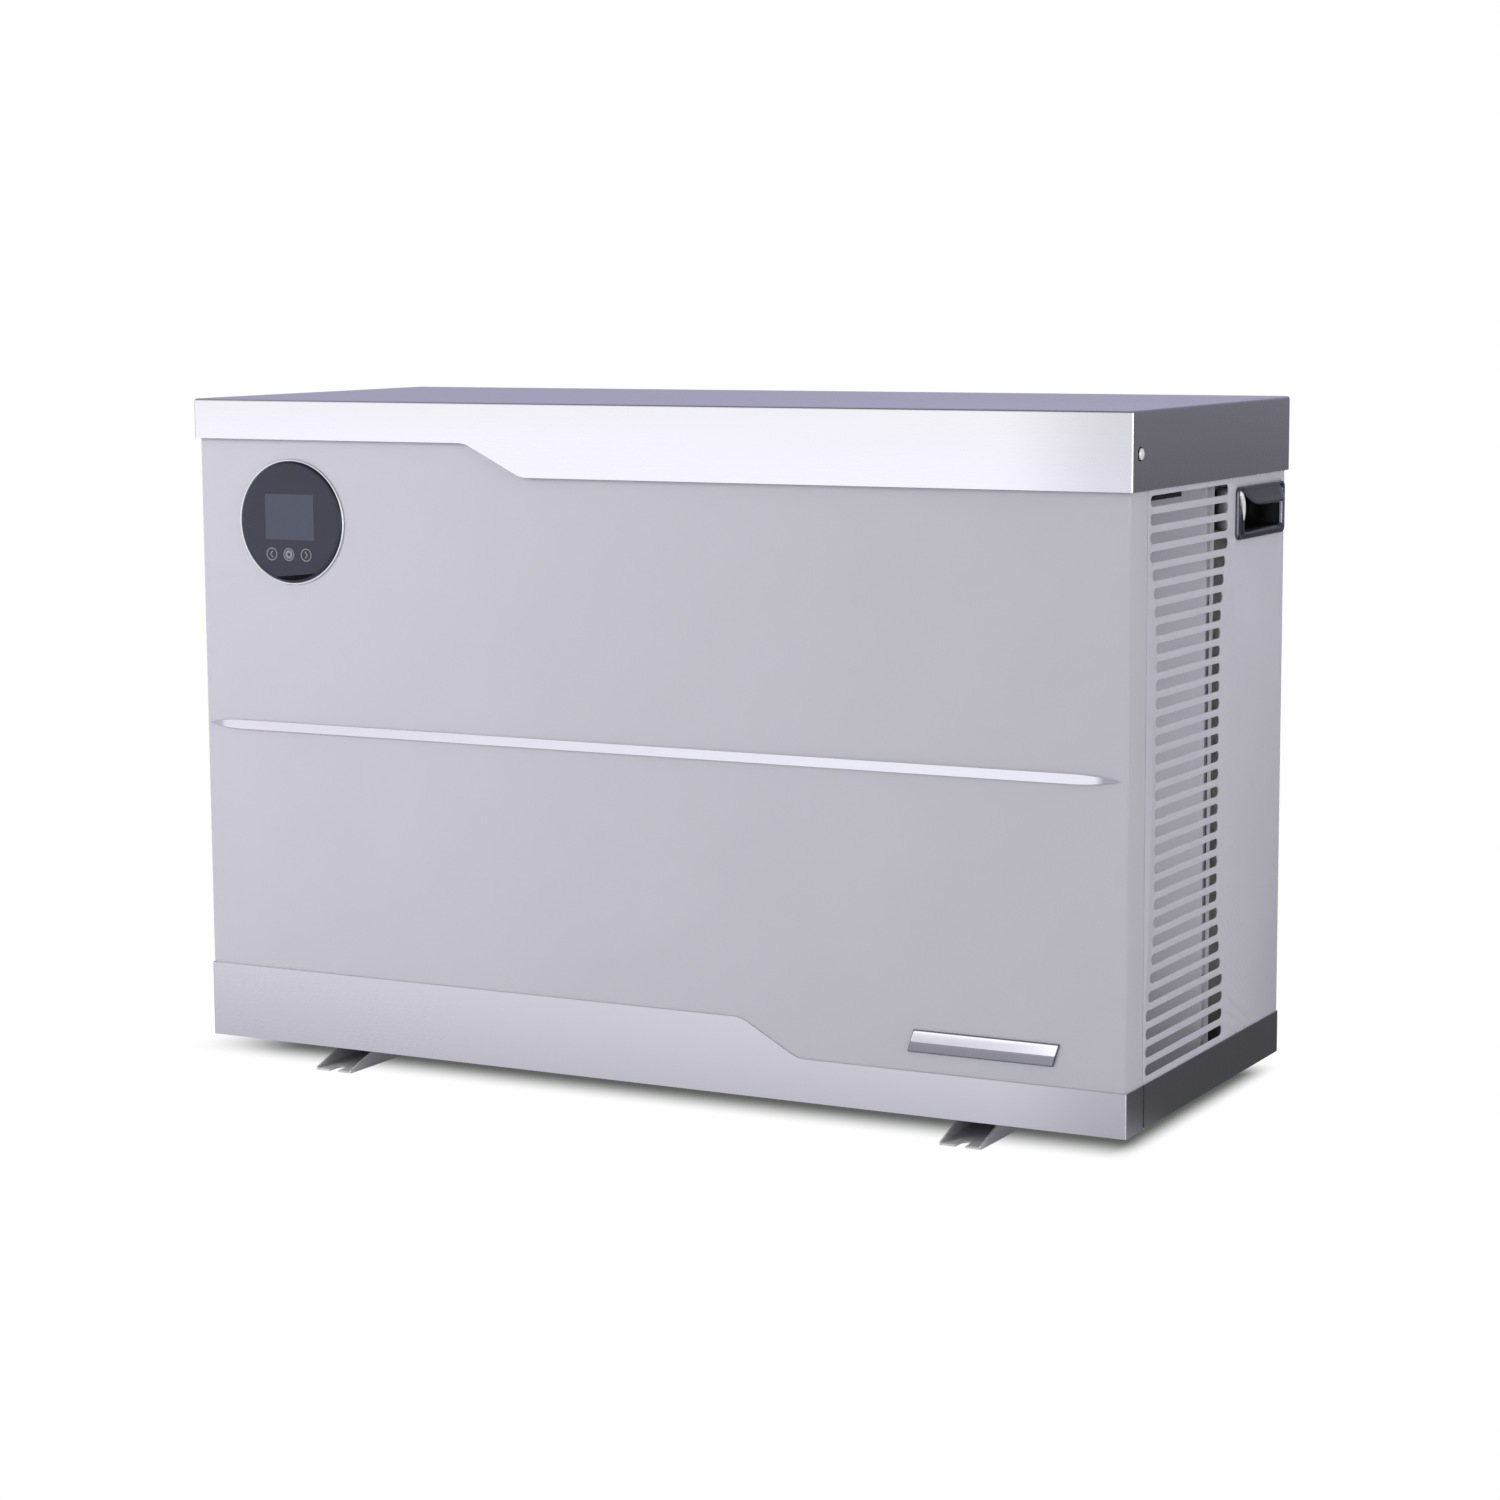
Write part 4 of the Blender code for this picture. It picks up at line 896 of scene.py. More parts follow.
def front_panel():
    mesh = bmesh.new()
    grid = [
        [mesh.verts.new(point(x, y - rise, z)) for z, rise in front_column(x, on_face)]
        for x, y, on_face in front_stations()
    ]
    for a, b in zip(grid, grid[1:]):
        for j in range(len(a) - 1):
            mesh.faces.new((a[j], b[j], b[j + 1], a[j + 1]))
    bmesh.ops.recalc_face_normals(mesh, faces=mesh.faces)
    obj = to_object("front_sheet", mesh)
    # an open sheet has no inside, so its normals may have come out facing back
    if obj.data.polygons[len(obj.data.polygons) // 2].normal.y > 0:
        obj.data.flip_normals()
    thicken(obj, 1.2, -1.0)
    hole = circle(control_x, control_z, 50.5, 64)
    cut(obj, [cutter("display_cut", hole, 30, "front", (0, FACE, 0))])
    finish(obj, PAINT_FRONT, stands_for="front_panel", angle=25)


front_panel()

# ------------------------------------------------------------------ base trim
TRIM_TALL, TRIM_LOW = 78.2, 42.9  # height at the left of the front, and to the right of its step


def trim_front():
    low, high = cad_box("base_trim_front")
    foot = low[2]
    tall, short, right = foot + TRIM_TALL, foot + TRIM_LOW, WIDTH + 20
    step = fillet([(560, tall), (641, tall), (704, short), (right, short)], 8)
    outline = step[1:] + [(right, foot + 120), (step[1][0], foot + 120)]
    trim_cut = cutter("trim_cut", outline, 90, "front", (0, 20, 0))
    outline = [(8.5, short), (90, short), (90, foot + 130), (8.5, foot + 130)]
    left_cut = cutter("left_cut", outline, 20, "side", (-2, 0, 0))
    cuts = [trim_cut, left_cut]
    drop = ("-z", "+z", "+y")
    folded_sheet("trim_front_sheet", low, high, drop, 0.9, 2.2, cuts, "base_trim_front")


def trim_side(side):
    low, high = cad_box(f"base_trim_{side}")
    left = side == "left"
    drop = ("-z", "+z", "-y", "+x" if left else "-x")
    low = (low[0], low[1] + 2.4, low[2])
    x0, x1 = (3.9, 4.7) if left else (WIDTH - 4.7, WIDTH - 3.9)
    backing_low, backing_high = (x0, 43.5, low[2] + 0.6), (x1, 53.0, high[2] - 0.8)
    box(f"trim_{side}_backing", backing_low, backing_high, RUBBER, 0.15, 1)
    folded_sheet(f"trim_{side}_sheet", low, high, drop, 0.9, 2.2, [], f"base_trim_{side}")


trim_front()
for side in SIDES:
    trim_side(side)

# ------------------------------------------------------------------ side panels
ROWS, PITCH, SLOT_HEIGHT, TOP_SLOT = 32, 17.32, 10.4, 617.5
# (front, rear) ends of the slots, from the outermost rows inwards
SLOT_ENDS = [(54.8, 262.5)] * 4 + [(61.3, 256.3), (65.0, 252.8), (68.0, 250.0), (70.8, 246.6)]
SLOT_ENDS_MIDDLE = (73.0, 245.0)
(_, handle_y0, handle_z0), (_, handle_y1, handle_z1) = cad_box("handle_right")


def slot_outline(row):
    from_end = min(row, ROWS - 1 - row)
    y0, y1 = SLOT_ENDS[from_end] if from_end < len(SLOT_ENDS) else SLOT_ENDS_MIDDLE
    z = TOP_SLOT - row * PITCH
    radius = SLOT_HEIGHT / 2
    loop = []
    for y, start in ((y1 - radius, -90), (y0 + radius, 90)):
        for i in range(10):
            t = math.radians(start + 180 * i / 9)
            loop.append((y + radius * math.cos(t), z + radius * math.sin(t)))
    return loop


def side_panel(side):
    (x0, _, z0), (x1, y1, z1) = cad_box(f"side_panel_{side}")
    x_out, inward = (x1, -1) if side == "right" else (x0, 1)
    loops = [rounded(48.1, z0, y1, z1, 0.8, 2)] + [slot_outline(row) for row in range(ROWS)]
    loops.append(
        rounded(handle_y0 + 4, handle_z0 + 4, handle_y1 - 4, handle_z1 - 4, 3, 4)
    )

    def folds(mesh):
        xa, xb = sorted((x_out + inward * 0.4, x_out + inward * 16))
        add_box(mesh, (xa, y1 - 1.6, z0 + 0.6), (xb, y1 - 0.4, z1 - 0.6), 0.25, 2)
        xa, xb = sorted((x_out + inward * 1.5, x_out + inward * 2.6))
        add_box(mesh, (xa, 32.0, z0 + 2), (xb, 52.0, z1 - 2), 0.2, 1)

    plate(
        f"side_sheet_{side}", loops, 1.2, "side", (x_out + inward * 0.6, 0, 0), PAINT,
        edge=0.28, extra=folds, stands_for=f"side_panel_{side}", angle=35,
    )


for side in SIDES:
    side_panel(side)

# ------------------------------------------------------------------ handles
# Rings of a handle: inset at the front, below, above; how far proud of the skin; corner radius.
# The frame has a stepped outer edge, then a rolled bead that turns down into the opening.
BEZEL_RINGS = (
    (0.8, 0.8, 0.8, 0.3, 6.0), (0.0, 0.0, 0.0, 0.9, 6.5), (0.0, 0.0, 0.0, 1.9, 6.5),
    (0.35, 0.35, 0.35, 2.8, 6.2), (1.3, 1.2, 1.2, 3.4, 5.6), (4.6, 2.6, 2.2, 3.5, 5.2),
    (6.0, 3.2, 2.4, 2.7, 5.0), (8.2, 3.8, 2.6, 2.3, 5.0), (9.6, 4.2, 2.8, 2.9, 5.0),
    (11.0, 4.7, 3.0, 4.0, 5.0), (12.8, 5.3, 3.2, 4.5, 4.8), (14.8, 6.0, 3.4, 4.2, 4.6),
    (16.6, 6.9, 3.7, 3.2, 4.2), (18.0, 7.9, 4.0, 1.6, 4.0), (18.6, 8.4, 4.2, 0.9, 3.8),
    (18.4, 8.2, 4.0, 0.4, 3.6), (15.0, 5.0, 2.4, 0.3, 4.0), (0.8, 0.8, 0.8, 0.3, 6.0),
)
POCKET_RINGS = (
    (18.1, 7.9, 3.6, 0.2, 3.4), (18.2, 8.0, 3.8, -20.0, 6.0),
    (19.0, 11.0, 7.0, -29.0, 9.0), (26.0, 18.0, 14.0, -31.4, 5.0),
)
CUP_RINGS = (
    (16.2, 6.2, 2.2, -1.8, 3.0), (16.2, 6.2, 2.4, -20.0, 6.0),
    (17.2, 9.2, 5.2, -31.2, 9.0), (24.2, 16.2, 12.2, -33.6, 5.0),
)


def proud_x(side, proud):
    """x of a place that stands proud of the side's skin."""
    return WIDTH - 4.0 + proud if side == "right" else 4.0 - proud


def handle_loft(name, side, rings, material, cap=False, **kw):
    (_, y0, z0), (_, y1, z1) = cad_box(f"handle_{side}")
    mesh = bmesh.new()
    made = []
    for front, below, above, proud, radius in rings:
        rear = front if front < 4 else 4 + (front - 4) * 0.45
        outline = rounded(y0 + front, z0 + below, y1 - rear, z1 - above, radius)
        x = proud_x(side, proud)
        made.append([mesh.verts.new(point(x, y, z)) for y, z in outline])
    bridge_all(mesh, made)
    if cap:
        mesh.faces.new(made[-1])
    return piece(f"{name}_{side}", mesh, material, angle=50, **kw)


def handle_cup(name, side, rings, material, wall):
    """A cup sunk into the cabinet, closed at its inner end."""
    cup = handle_loft(name, side, rings, material, cap=True)
    thicken(cup, wall, 1.0)
    cup.data.shade_smooth()


def handle_hood(side):
    """A thin lip that leans out over the opening and narrows towards its lower edge."""
    (_, y0, _), (_, y1, z1) = cad_box(f"handle_{side}")
    columns, rows = 32, 18
    height, lean, sheet = 18.6, 6.2, 1.7
    curl_from = 0.82  # part of the height where the edge curls back in

    def surface(mesh, depth):
        grid = []
        for j in range(rows + 1):
            t = j / rows
            lift = lean * min(1.0, t / curl_from) ** 1.6
            front_end = y0 + 17.0 + 50.0 * t * t - 2.83 * lift
            rear_end = y1 - 10.5 - 7.0 * t**1.7
            curl = 2.6 * max(0.0, (t - curl_from) / 0.18) ** 2
            down = t if t < curl_from else curl_from + (t - curl_from) * 0.9
            line = []
            for i in range(columns + 1):
                u = i / columns
                ends = 0.9 * (2 * abs(u - 0.5)) ** 14
                x = proud_x(side, 3.4 + lift - curl - ends - depth)
                y = front_end + (rear_end - front_end) * u
                line.append(mesh.verts.new(point(x, y, z1 - 2.2 - height * down)))
            grid.append(line)
        return grid

    mesh = bmesh.new()
    face = mesh.faces.new
    outer, inner = surface(mesh, 0.0), surface(mesh, sheet)
    for j in range(rows):
        for i in range(columns):
            face((outer[j][i], outer[j][i + 1], outer[j + 1][i + 1], outer[j + 1][i]))
            face((inner[j + 1][i], inner[j + 1][i + 1], inner[j][i + 1], inner[j][i]))
    for i in range(columns):
        face((outer[0][i + 1], outer[0][i], inner[0][i], inner[0][i + 1]))
        face((outer[-1][i], outer[-1][i + 1], inner[-1][i + 1], inner[-1][i]))
    for j in range(rows):
        face((outer[j][0], outer[j + 1][0], inner[j + 1][0], inner[j][0]))
        face((outer[j + 1][-1], outer[j][-1], inner[j][-1], inner[j + 1][-1]))
    piece(f"handle_hood_{side}", mesh, DARK_CHROME, angle=50)


def handle_crescent(side):
    """Painted highlight: a bright crescent on the handle's front bar, and a finer one on its rear
    bar.
    """
    (_, y0, _), (_, y1, z1) = cad_box(f"handle_{side}")
    mesh = bmesh.new()
    for at_front in (True, False):
        rings = []
        for i in range(25):
            t = i / 24
            if at_front:
                y, z = y0 + 4.0 + 9.0 * math.sin(t * math.pi * 0.62), z1 - 4.0 - 35.0 * t
                proud = 3.3 + 0.9 * math.sin(t * math.pi)
                radius = 0.2 + 2.7 * math.sin(math.pi * t**0.45)
            else:
                y, z = y1 - 8.4 + 1.6 * math.cos(t * math.pi), z1 - 21.0 - 18.0 * t
                proud = 2.6
                radius = 0.15 + 0.45 * math.sin(math.pi * t)
            ring = []
            for k in range(10):
                a = 2 * math.pi * k / 10
                x = proud_x(side, proud + radius * math.cos(a))
                ring.append(mesh.verts.new(point(x, y + 1.25 * radius * math.sin(a), z)))
            rings.append(ring)
        tube_faces(mesh, rings)
    piece(f"handle_crescent_{side}", mesh, HIGHLIGHT_WHITE, clean=False, angle=70)


for side in SIDES:
    handle_loft("handle_bezel", side, BEZEL_RINGS, DARK_CHROME, stands_for=f"handle_{side}")
    # the pocket's near-black is partly painted shade
    handle_cup("handle_pocket", side, POCKET_RINGS, CAVITY_SHADED_BLACK, 1.6)
    handle_cup("handle_cup", side, CUP_RINGS, BLACK, 0.6)
    handle_hood(side)
    # painted highlight crescents on the handle's bars
    handle_crescent(side)

# ------------------------------------------------------------------ control panel
CONTROL = (control_x, 0, control_z)
# (radius, y) profiles
CONTROL_RING = [
    (64.9, 5.0), (64.9, 3.9), (64.5, 3.4), (63.4, 3.3), (62.9, 3.6), (62.8, 4.3), (54.5, 4.3),
    (54.5, 5.0),
]
CONTROL_GLASS = [
    (0, 4.1), (62.5, 4.1), (62.5, 2.9), (62.2, 2.3), (61.6, 1.8), (60.7, 1.4), (59.5, 1.12),
    (58.0, 1.0), (0, 1.0),
]
CONTROL_HOUSING = [(0, 30), (49.8, 30), (49.8, 5.3), (47, 5.3), (47, 28), (0, 28)]
ICON_DROP = 33.4  # touch icons below the middle of the glass
PRINT_Y = 0.93  # y of the middle of the window and icons


def sensor_strip():
    """Painted reflection: a dark segment of the disc along its lower edge, standing in for a dark
    reflection in the glass.
    """
    radius, middle, half = 60.3, math.radians(-84.1), math.acos(54.9 / 60.3)
    turns = [middle + half * (i / 20 - 1) for i in range(41)]
    segment = [
        (control_x + radius * math.cos(a), control_z + radius * math.sin(a)) for a in turns
    ]
    plate("control_dark_reflection_band", [segment], 0.10, "front", (0, 0.96, 0), REFLECTION_BAND, angle=20)


def touch_icon(kind, shift):
    """A circle round a smaller ring, or round a chevron that points left or right."""
    x, z = control_x + shift, control_z - ICON_DROP
    solid = (0.14, "front", (0, PRINT_Y, 0))
    if kind == "mid":
        symbol = [circle(x, z, 4.6, 40), circle(x, z, 1.7, 40)]
    else:
        d = -1 if kind == "left" else 1
        offsets = ((-1.9, 3.5), (-0.3, 3.5), (2.3, 0), (-0.3, -3.5), (-1.9, -3.5), (0.7, 0))
        symbol = [[(x + across * d, z + up) for across, up in offsets]]

    def add_symbol(mesh):
        other = plate_mesh(symbol, *solid)
        data = bpy.data.meshes.new("symbol")
        other.to_mesh(data)
        other.free()
        mesh.from_mesh(data)
        bpy.data.meshes.remove(data)

    rim = [circle(x, z, 6.7, 40), circle(x, z, 5.6, 40)]
    plate(f"touch_icon_{kind}", rim, *solid, ICON, extra=add_symbol, angle=20)


lathe(
    "control_ring", CONTROL_RING, CONTROL, RING, "y", 128,
    soft=(0.25, 3), closed=True, stands_for="controller_bezel",
)
lathe(
    "control_glass", CONTROL_GLASS, CONTROL, BLACK_GLASS, "y", 128,
    stands_for="controller_glass", angle=25,
)
window = rounded(
    control_x - 30.6, control_z - 18.2, control_x + 29.9, control_z + 28.8, 1.4, 4
)
plate(
    "control_window", [window], 0.16, "front", (0, PRINT_Y, 0), LCD,
    stands_for="controller_screen", angle=20,
)
sensor_strip()
for kind, shift in (("left", -23.5), ("mid", -2.2), ("right", 19.4)):
    touch_icon(kind, shift)
lathe(
    "control_housing_shell", CONTROL_HOUSING, CONTROL, BLACK, "y", 64,
    soft=(1.2, 3), stands_for="controller_housing",
)
box(
    "control_plug", (control_x - 18, 29.6, control_z - 30),
    (control_x + 18, 38, control_z - 12), BLACK, 1.0, 3,
)

# ------------------------------------------------------------------ blank badge
(badge_x0, badge_y0, badge_z0), (badge_x1, badge_y1, badge_z1) = cad_box("badge_plate")
RAKE = 0.30  # sideways lean of the badge's ends, per unit of height
BADGE_SPLIT = badge_z0 + 0.46 * (badge_z1 - badge_z0)


def badge_bar(name, z_low, z_high, inset, y_foot, y_low, y_high, material, soft, **kw):
    """A raked bar whose outer face runs from y_low at its lower edge to y_high at its upper."""
    z_middle = (badge_z0 + badge_z1) / 2
    mesh = bmesh.new()

    def ring(trim, y_of):
        loop = rounded(
            badge_x0 + 3.4 + inset + trim, z_low + trim,
            badge_x1 - 3.4 - inset - trim, z_high - trim, max(0.15, 1.2 - trim), 5,
        )
        return [mesh.verts.new(point(x + (z - z_middle) * RAKE, y_of(z), z)) for x, z in loop]

    def outer(z, back=0.0):
        return y_low + (y_high - y_low) * ((z - z_low) / (z_high - z_low)) + back

    rings = [
        ring(0.0, lambda z: y_foot),
        ring(0.0, lambda z: outer(z, soft)),
        ring(soft * 0.3, lambda z: outer(z, soft * 0.3)),
        ring(soft, outer),
    ]
    bridge_all(mesh, rings)
    mesh.faces.new(rings[-1])
    mesh.faces.new(rings[0][::-1])
    piece(name, mesh, material, angle=24, **kw)


# a dark foot shows as an outline round a bright upper face and a lower one whose chrome is made
# darker, a painted reflection
badge_bar(
    "badge_foot", badge_z0, badge_z1, inset=0.0, y_foot=badge_y1, y_low=badge_y0 + 1.35,
    y_high=badge_y0 + 1.35, material=DARK_CHROME, soft=0.4, stands_for="badge_plate",
)
badge_bar(
    "badge_upper", BADGE_SPLIT, badge_z1 - 0.9, inset=0.9, y_foot=badge_y0 + 1.9,
    y_low=badge_y0 + 0.05, y_high=badge_y0 + 1.15, material=BADGE, soft=0.4,
)
badge_bar(
    "badge_lower", badge_z0 + 0.9, BADGE_SPLIT - 0.05, inset=0.9, y_foot=badge_y0 + 1.6,
    y_low=badge_y0 + 0.75, y_high=badge_y0 + 0.05, material=BADGE_SHADED, soft=0.3,
)

# ------------------------------------------------------------------ feet
for side in SIDES:
    keep_shape(f"foot_rail_{side}", FOOT, width=0.5, angle=40)

# ------------------------------------------------------------------ rear panel and guard
union_x, _, inlet_z = cad_centre("inlet_union_tail")
outlet_z = cad_centre("outlet_union_tail")[2]
gauge_x, _, gauge_z = cad_centre("gauge_body")
gland_x, _, gland_z = cad_centre("cable_gland")
(_, _, _), (_, rear_y, _) = cad_box("rear_panel")
COIL_X0, COIL_Z0, COIL_X1, COIL_Z1 = 352, 74, 990, 646  # opening in front of the coil


def rear_panel():
    (x0, y0, z0), (x1, y1, z1) = cad_box("rear_panel")
    loops = [
        rounded(x0, z0, x1, z1, 1.0, 2),
        rounded(COIL_X0, COIL_Z0, COIL_X1, COIL_Z1, 8),
        circle(union_x, inlet_z, 33, 64),
        circle(union_x, outlet_z, 33, 64),
        circle(gauge_x, gauge_z, 27.6, 64),
        circle(gland_x, gland_z, 9.4, 32),
    ]
    plate(
        "rear_sheet", loops, 1.2, "front", (0, (y0 + y1) / 2, 0), PAINT,
        edge=0.25, stands_for="rear_panel",
    )


def guard():
    (x0, y0, z0), (x1, y1, z1) = cad_box("coil_guard")
    y = (y0 + y1) / 2
    level, upright = 47, 12  # gaps between the wires

    def wires(mesh):
        for i in range(1, level):
            z = COIL_Z0 + (COIL_Z1 - COIL_Z0) * i / level
            ends = [(COIL_X0 - 2, y - 0.5, z), (COIL_X1 + 2, y - 0.5, z)]
            add_tube(mesh, ends, 0.9, 8)
        for i in range(1, upright):
            x = COIL_X0 + (COIL_X1 - COIL_X0) * i / upright
            ends = [(x, y + 0.7, COIL_Z0 - 2), (x, y + 0.7, COIL_Z1 + 2)]
            add_tube(mesh, ends, 1.0, 8)

    loops = [rounded(x0, z0, x1, z1, 7), rounded(COIL_X0, COIL_Z0, COIL_X1, COIL_Z1, 6)]
    plate(
        "guard_grille", loops, y1 - y0, "front", (0, y, 0), BLACK,
        edge=0.5, extra=wires, stands_for="coil_guard", angle=50,
    )


rear_panel()
guard()
places = [(x, rear_y, z) for x in (28, WIDTH - 28) for z in (60, 210, 350, 490, 618)]
places += [(x, rear_y, 44) for x in (200, 340, 520, 700, 880)]
screws("rear_screws", places, "y", 3.8, 2.0)
guard_y = cad_box("coil_guard")[1][1]
places = [(x, guard_y, z) for x in (346, 996) for z in (110, 360, 610)]
screws("guard_screws", places, "y", 3.0, 1.3)

# ------------------------------------------------------------------ water unions
# (radius, y) profiles
UNION_NUT = [
    (39, 459), (39, 431), (37, 429), (32.2, 429), (32.2, 447.2), (30.2, 449), (30.2, 461),
    (37, 461),
]
UNION_SOCKET = [
    (29.5, 475), (29.5, 448), (31.2, 446), (31.2, 440.4), (21.5, 440.4), (21.5, 448),
    (25.1, 448), (25.1, 475),
]
WATER_STUB = [
    (26.5, 440), (31.5, 439), (31.5, 426), (29, 425.6), (26.5, 422), (26.5, 395), (21.5, 395),
    (21.5, 440),
]
PORT_RING = [
    (36.6, rear_y + 1.6), (41.5, rear_y + 1.6), (42.0, rear_y + 0.05), (35.6, rear_y + 0.05),
]


def flute(angle, radius, y):
    """Twelve grooves along the nut's outer wall."""
    if radius > 37.5 and 430.5 < y < 459.5:
        return -1.7 * max(0.0, math.cos(angle * 12)) ** 6
    return 0.0


def union(side, z, ring_material):
    place = (union_x, 0, z)
    lathe(
        f"union_nut_{side}", UNION_NUT, place, GREY, "y", 144, (0.9, 3), True, flute,
        stands_for=f"{side}_union_nut", body=f"{side}_nut", angle=30,
    )
    lathe(
        f"union_socket_{side}", UNION_SOCKET, place, GREY, "y", 72, (0.7, 3), True,
        stands_for=f"{side}_union_tail",
    )
    lathe(
        f"water_stub_{side}", WATER_STUB, place, WHITE, "y", 72, (0.7, 3), True,
        stands_for=f"water_{side}_pipe",
    )
    lathe(f"port_ring_{side}", PORT_RING, place, ring_material, "y", 72, (0.4, 2), True)


union("inlet", inlet_z, BLUE)
union("outlet", outlet_z, RED)

# ------------------------------------------------------------------ pressure gauge
GAUGE = (gauge_x, 0, gauge_z)
# (radius, y) profiles
GAUGE_CASE = [
    (0, 427.0), (1.6, 427.0), (1.6, 424.6), (25.4, 424.6), (25.4, 432.4), (27.6, 432.4),
    (27.6, 434.5), (29, 434.5), (31, 433), (31, 424.8), (27, 424.8), (27, 404), (0, 404),
]
GAUGE_DIAL = [(0, 424.9), (25.2, 424.9), (25.2, 424.62), (0, 424.62)]
NEEDLE_BOSS = [(0, 429.2), (2.0, 429.2), (2.4, 428.9), (2.4, 427.9), (0, 427.9)]
GAUGE_WINDOW = [(0, 434.3), (26.9, 434.3), (27.2, 434.0), (27.2, 433.0), (0, 433.0)]
DIAL_START = 225  # degrees of the first mark, seen from behind the unit


def gauge_ticks():
    mesh = bmesh.new()
    for k in range(31):
        a = math.radians(DIAL_START - 9 * k)
        # seen from behind the unit, right and left swap
        c, s = -math.cos(a), math.sin(a)
        inner, half = (18.2, 0.55) if k % 5 == 0 else (20.6, 0.28)
        quad = [(inner, -half), (23.4, -half), (23.4, half), (inner, half)]
        faces = [
            [
                mesh.verts.new(point(gauge_x + r * c - o * s, y, gauge_z + r * s + o * c))
                for r, o in quad
            ]
            for y in (424.9, 425.05)
        ]
        mesh.faces.new(faces[0])
        mesh.faces.new(faces[1])
        bridge(mesh, *faces)
    piece("gauge_ticks", mesh, INK, angle=20)


def gauge_digit(k):
    a = math.radians(DIAL_START - 45 * k)
    font = bpy.data.curves.new(f"gauge_number_{k}", "FONT")
    font.body = str(k)
    font.size = 0.0056
    font.extrude = 0.0001
    font.resolution_u = 3
    font.align_x = "CENTER"
    font.align_y = "CENTER"
    text = link_object("tmp_text", font)
    data = evaluated_mesh(text)
    bpy.data.objects.remove(text)
    centre = point(gauge_x - 14.6 * math.cos(a), 425.0, gauge_z + 14.6 * math.sin(a))
    facing_back = Matrix(((-1, 0, 0), (0, 0, 1), (0, 1, 0))).to_4x4()
    data.transform(Matrix.Translation(centre) @ facing_back)
    finish(link_object(f"gauge_digit_{k}", data), INK, angle=20)


lathe("gauge_case", GAUGE_CASE, GAUGE, CHROME, "y", 72, (0.6, 3), stands_for="gauge_body")
lathe("gauge_dial", GAUGE_DIAL, GAUGE, DIAL, "y", 64)
gauge_ticks()
for k in range(7):
    gauge_digit(k)
lathe("needle_boss", NEEDLE_BOSS, GAUGE, INK, "y", 32, body="needle")
lathe("gauge_window", GAUGE_WINDOW, GAUGE, LENS, "y", 64, stands_for="gauge_lens")


# ------------------------------------------------------------------ cable gland
def hexagon_radius(angle, flat):
    """Radius at an angle of a hexagon whose flats lie `flat` from its middle."""
    return flat / math.cos((angle + math.pi / 6) % (math.pi / 3) - math.pi / 6)


def gland_flats(angle, radius, y):
    return min(0.0, hexagon_radius(angle, 12.6) - radius) if radius > 13 else 0.0


GLAND = [
    (12.5, 436), (14.4, 434), (14.4, 425), (9, 424.6), (9, 418), (5.2, 418), (5.2, 442), (8, 442),
]
lathe(
    "gland_body", GLAND, (gland_x, 0, gland_z), BLACK, "y", 72, (0.5, 2), True, gland_flats,
    stands_for="cable_gland", angle=30,
)

# ------------------------------------------------------------------ fan deck
fan_x, _, fan_z = cad_centre("fan_ring")
(deck_x0, DECK_Y, deck_z0), (deck_x1, _, deck_z1) = cad_box("fan_deck")
BELL = [
    (229, 62), (229, 0), (244, -0.4), (244, -3.0), (238, -12), (235, -12), (230, -5), (226, 4),
    (226, 62),
]


def deck_folds(mesh):
    """A fold at each end of the deck, and a strip beyond each end."""
    flange = (DECK_Y + 0.4, DECK_Y + 17, deck_z0 + 0.6, deck_z1 - 0.6, 0.25)
    strip = (DECK_Y + 4.2, DECK_Y + 5.4, 62.0, deck_z1 - 1.0, 0.3)
    for x0, x1, (y0, y1, z0, z1, bevel) in (
        (deck_x1 - 1.5, deck_x1 - 0.3, flange),
        (deck_x1 + 2.2, deck_x1 + 6.0, strip),
        (deck_x0 - 6.0, deck_x0 - 2.2, strip),
        (deck_x0 + 0.3, deck_x0 + 1.5, flange),
    ):
        add_box(mesh, (x0, y0, z0), (x1, y1, z1), bevel, 2)


deck_loops = [
    rounded(deck_x0, deck_z0, deck_x1, deck_z1, 1.0, 2), circle(fan_x, fan_z, 230.5, 96)
]
plate(
    "deck_sheet", deck_loops, 1.2, "front", (0, DECK_Y + 0.6, 0), PAINT_INNER,
    edge=0.25, extra=deck_folds, stands_for="fan_deck",
)
lathe(
    "bell_mouth", BELL, (fan_x, DECK_Y - 0.4, fan_z), PAINT_INNER, "y", 128, (3.0, 4), True,
    stands_for="fan_ring",
)
box(
    "panel_foam_strip", (WIDTH - 7.4, 53.6, 617.7), (WIDTH - 5.5, 138.0, 634.0), FOAM, 0.5
)

# ------------------------------------------------------------------ fan and motor
FAN_Y = 228.0
FAN = (fan_x, FAN_Y, fan_z)
BLADES, BLADE_SPANS, BLADE_CHORDS = 3, 26, 14
BLADE_ROOT, BLADE_TIP = 50, 216.0
# (radius, y from FAN_Y) profiles
FAN_HUB = [
    (50, 56), (54, 50), (54, 4), (51, 1.2), (46, 0), (20, 0), (18, 1.5), (13, 1.5), (12, 0),
    (6.4, 0), (6.4, 56),
]
HUB_NUT = [(10.5, -0.4), (10.5, -8.2), (9.0, -9), (6.35, -9), (6.35, -0.4)]
SHAFT = [
    (0, 118), (6, 118), (6, 106), (36, 106), (36, 76), (6, 76), (6, -12), (5, -13), (0, -13)
]
MOTOR = [
    (0, 124), (52, 124), (58, 116), (58, 112), (58, 80), (58, 76), (56, 70), (50, 66), (14, 62),
    (8.5, 62), (8.5, 70), (40, 70), (40, 120), (0, 120),
]


